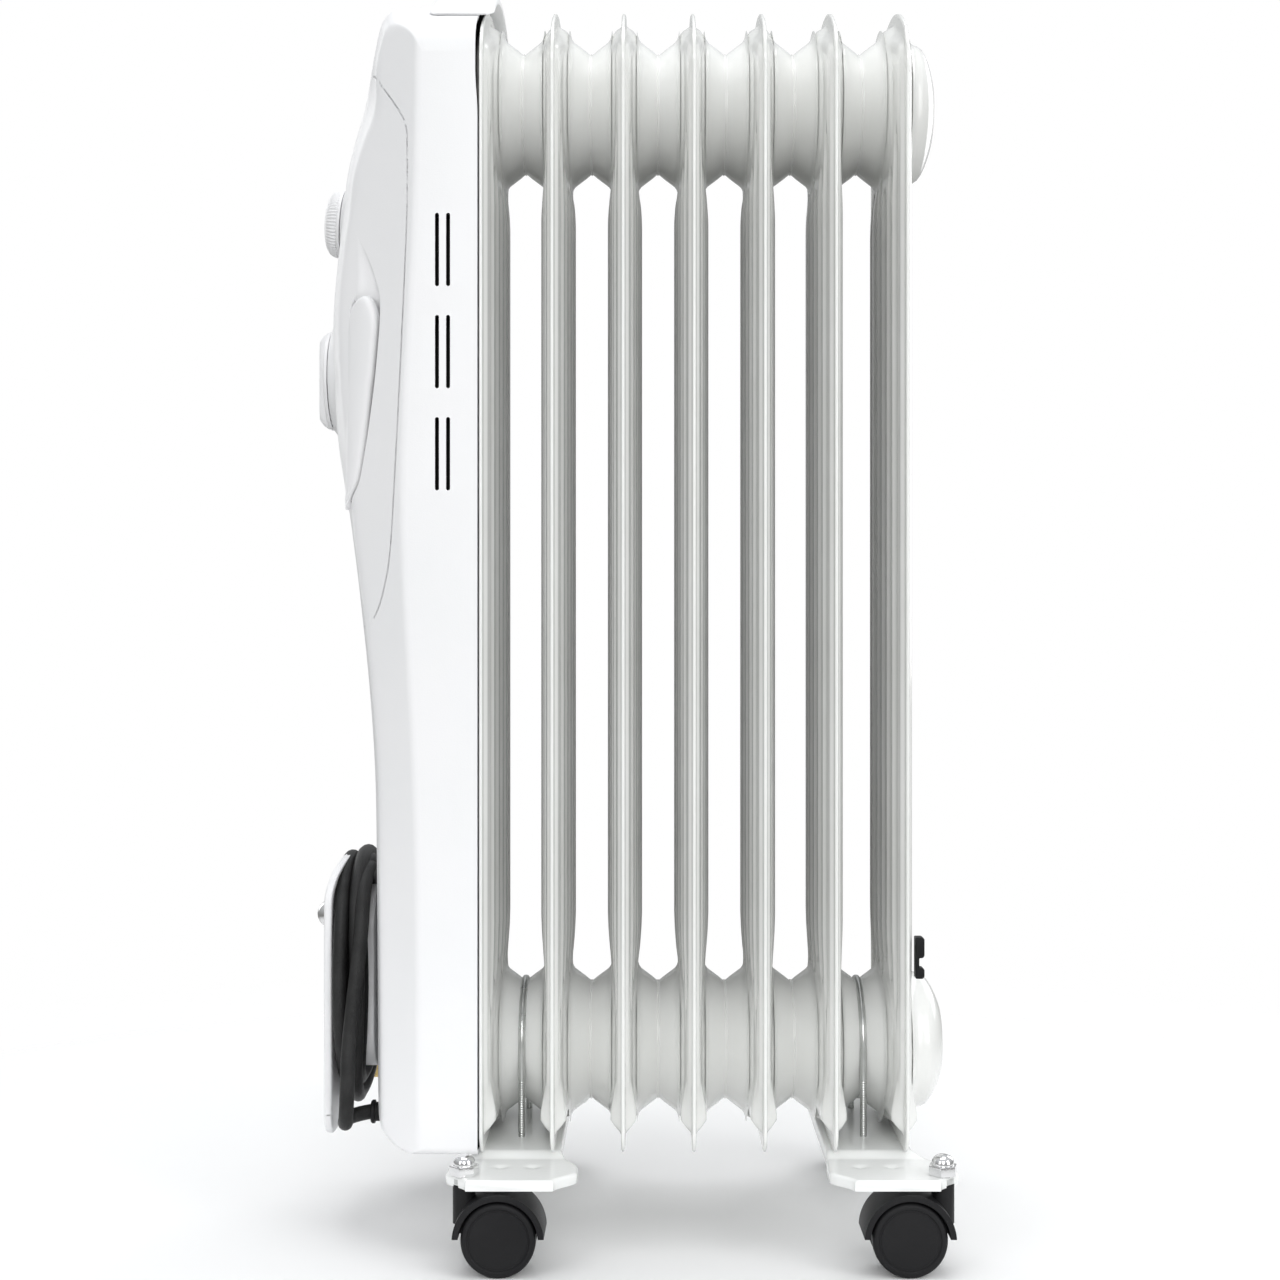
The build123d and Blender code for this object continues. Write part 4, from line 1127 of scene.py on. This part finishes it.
def make_casters():
    """Rounded hoods, and wheels with a raised ring round a shallow dished face."""
    profile = [(3.9, 2.1), (3.9, 14.0), (4.1, 17.0), (4.6, 17.9), (5.4, 18.35), (6.4, 18.4),
               (11.4, 18.4), (12.3, 18.25), (12.9, 17.8), (13.3, 17.2), (13.5, 16.4),
               (13.5, 15.6), (13.2, 15.2), (12.9, 15.0), (12.9, 14.4), (13.1, 14.2),
               (13.3, 9.0), (13.4, 3.0), (13.4, 0.6)]
    for spot in ("front_left", "front_right", "rear_left", "rear_right"):
        refined(f"caster_hood_{spot}", "black_plastic", f"swivel_{spot}", 0.8, f"hood_{spot}")
        middle = centre_of(f"caster_wheels_{spot}")
        points, faces = merged([lathe(profile, middle, (0, side, 0), 80) for side in (-1, 1)])
        mesh_object(f"wheels_{spot}_pair", points, faces, "black_plastic", f"wheels_{spot}",
                    (f"caster_wheels_{spot}",), 35)


make_casters()


# ---------------------------------------------------------------- winder and clip
def make_winder_plate():
    outline = Arch(38.0, 50.5, 197.0, 60.0, 20.0, 12.0)
    columns = mirrored([38 - d for d in (0, 0.3, 0.8, 1.5, 2.4, 4)] + list(np.arange(0, 33, 4.0)))
    rows = np.array([50.5, 50.8, 51.3, 52, 53, 55, 58, 62] + list(np.arange(70, 180, 8.0))
                    + [180, 184, 187, 190, 192, 194, 195, 195.8, 196.4, 196.8, 197])
    y, z = outline.grid(columns, rows, 62.0, 160.0)
    inset = outline.inset(y, z)
    round_off = 1.6 * (1 - np.sqrt(np.clip(1 - (1 - np.clip(inset / 2.0, 0, 1)) ** 2, 0, 1)))
    curl = 7.0 * np.clip((z - 172) / 25, 0, 1) ** 2
    front = np.stack([-159.0 + round_off + curl, y, z], axis=-1)
    back = np.stack([-154.6 - round_off * 0.6 + curl, y, z], axis=-1)
    points, faces = two_faced(front, back)
    mesh_object("winder_flange", points, faces, "housing_plastic", ROOT, ("winder_plate",), 50)


def make_winder_screw():
    """Dome head."""
    low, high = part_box("winder_screw")
    start = low.x / MM
    middle = centre_of("winder_screw")
    profile = [(9.5, 6.0), (9.5, 8.5), (8.8, 8.5), (7.0, 8.2), (5.0, 7.4), (3.0, 6.1), (1.4, 4.4),
               (0.4, 2.4), (0.0, 0.5)]
    points, faces = lathe(profile, (start, 0, middle.z), (1, 0, 0), 56)
    mesh_object("winder_dome", points, faces, "chrome", ROOT, ("winder_screw",), 40)


make_winder_plate()
make_winder_screw()
refined("winder_post", "housing_plastic", ROOT, 0.8, "winder_core")
refined("rear_clip", "black_plastic", ROOT, 0.5, "fin_clip")

# ---------------------------------------------------------------- finishes of the CAD parts kept
SLOT_OF = {part["node"]: part["material_slot"] for part in frame["record"]["subparts"]}
for node, piece in frame["nodes"].items():
    for holder in piece.material_slots:
        holder.material = FINISH[SLOT_OF[node]]
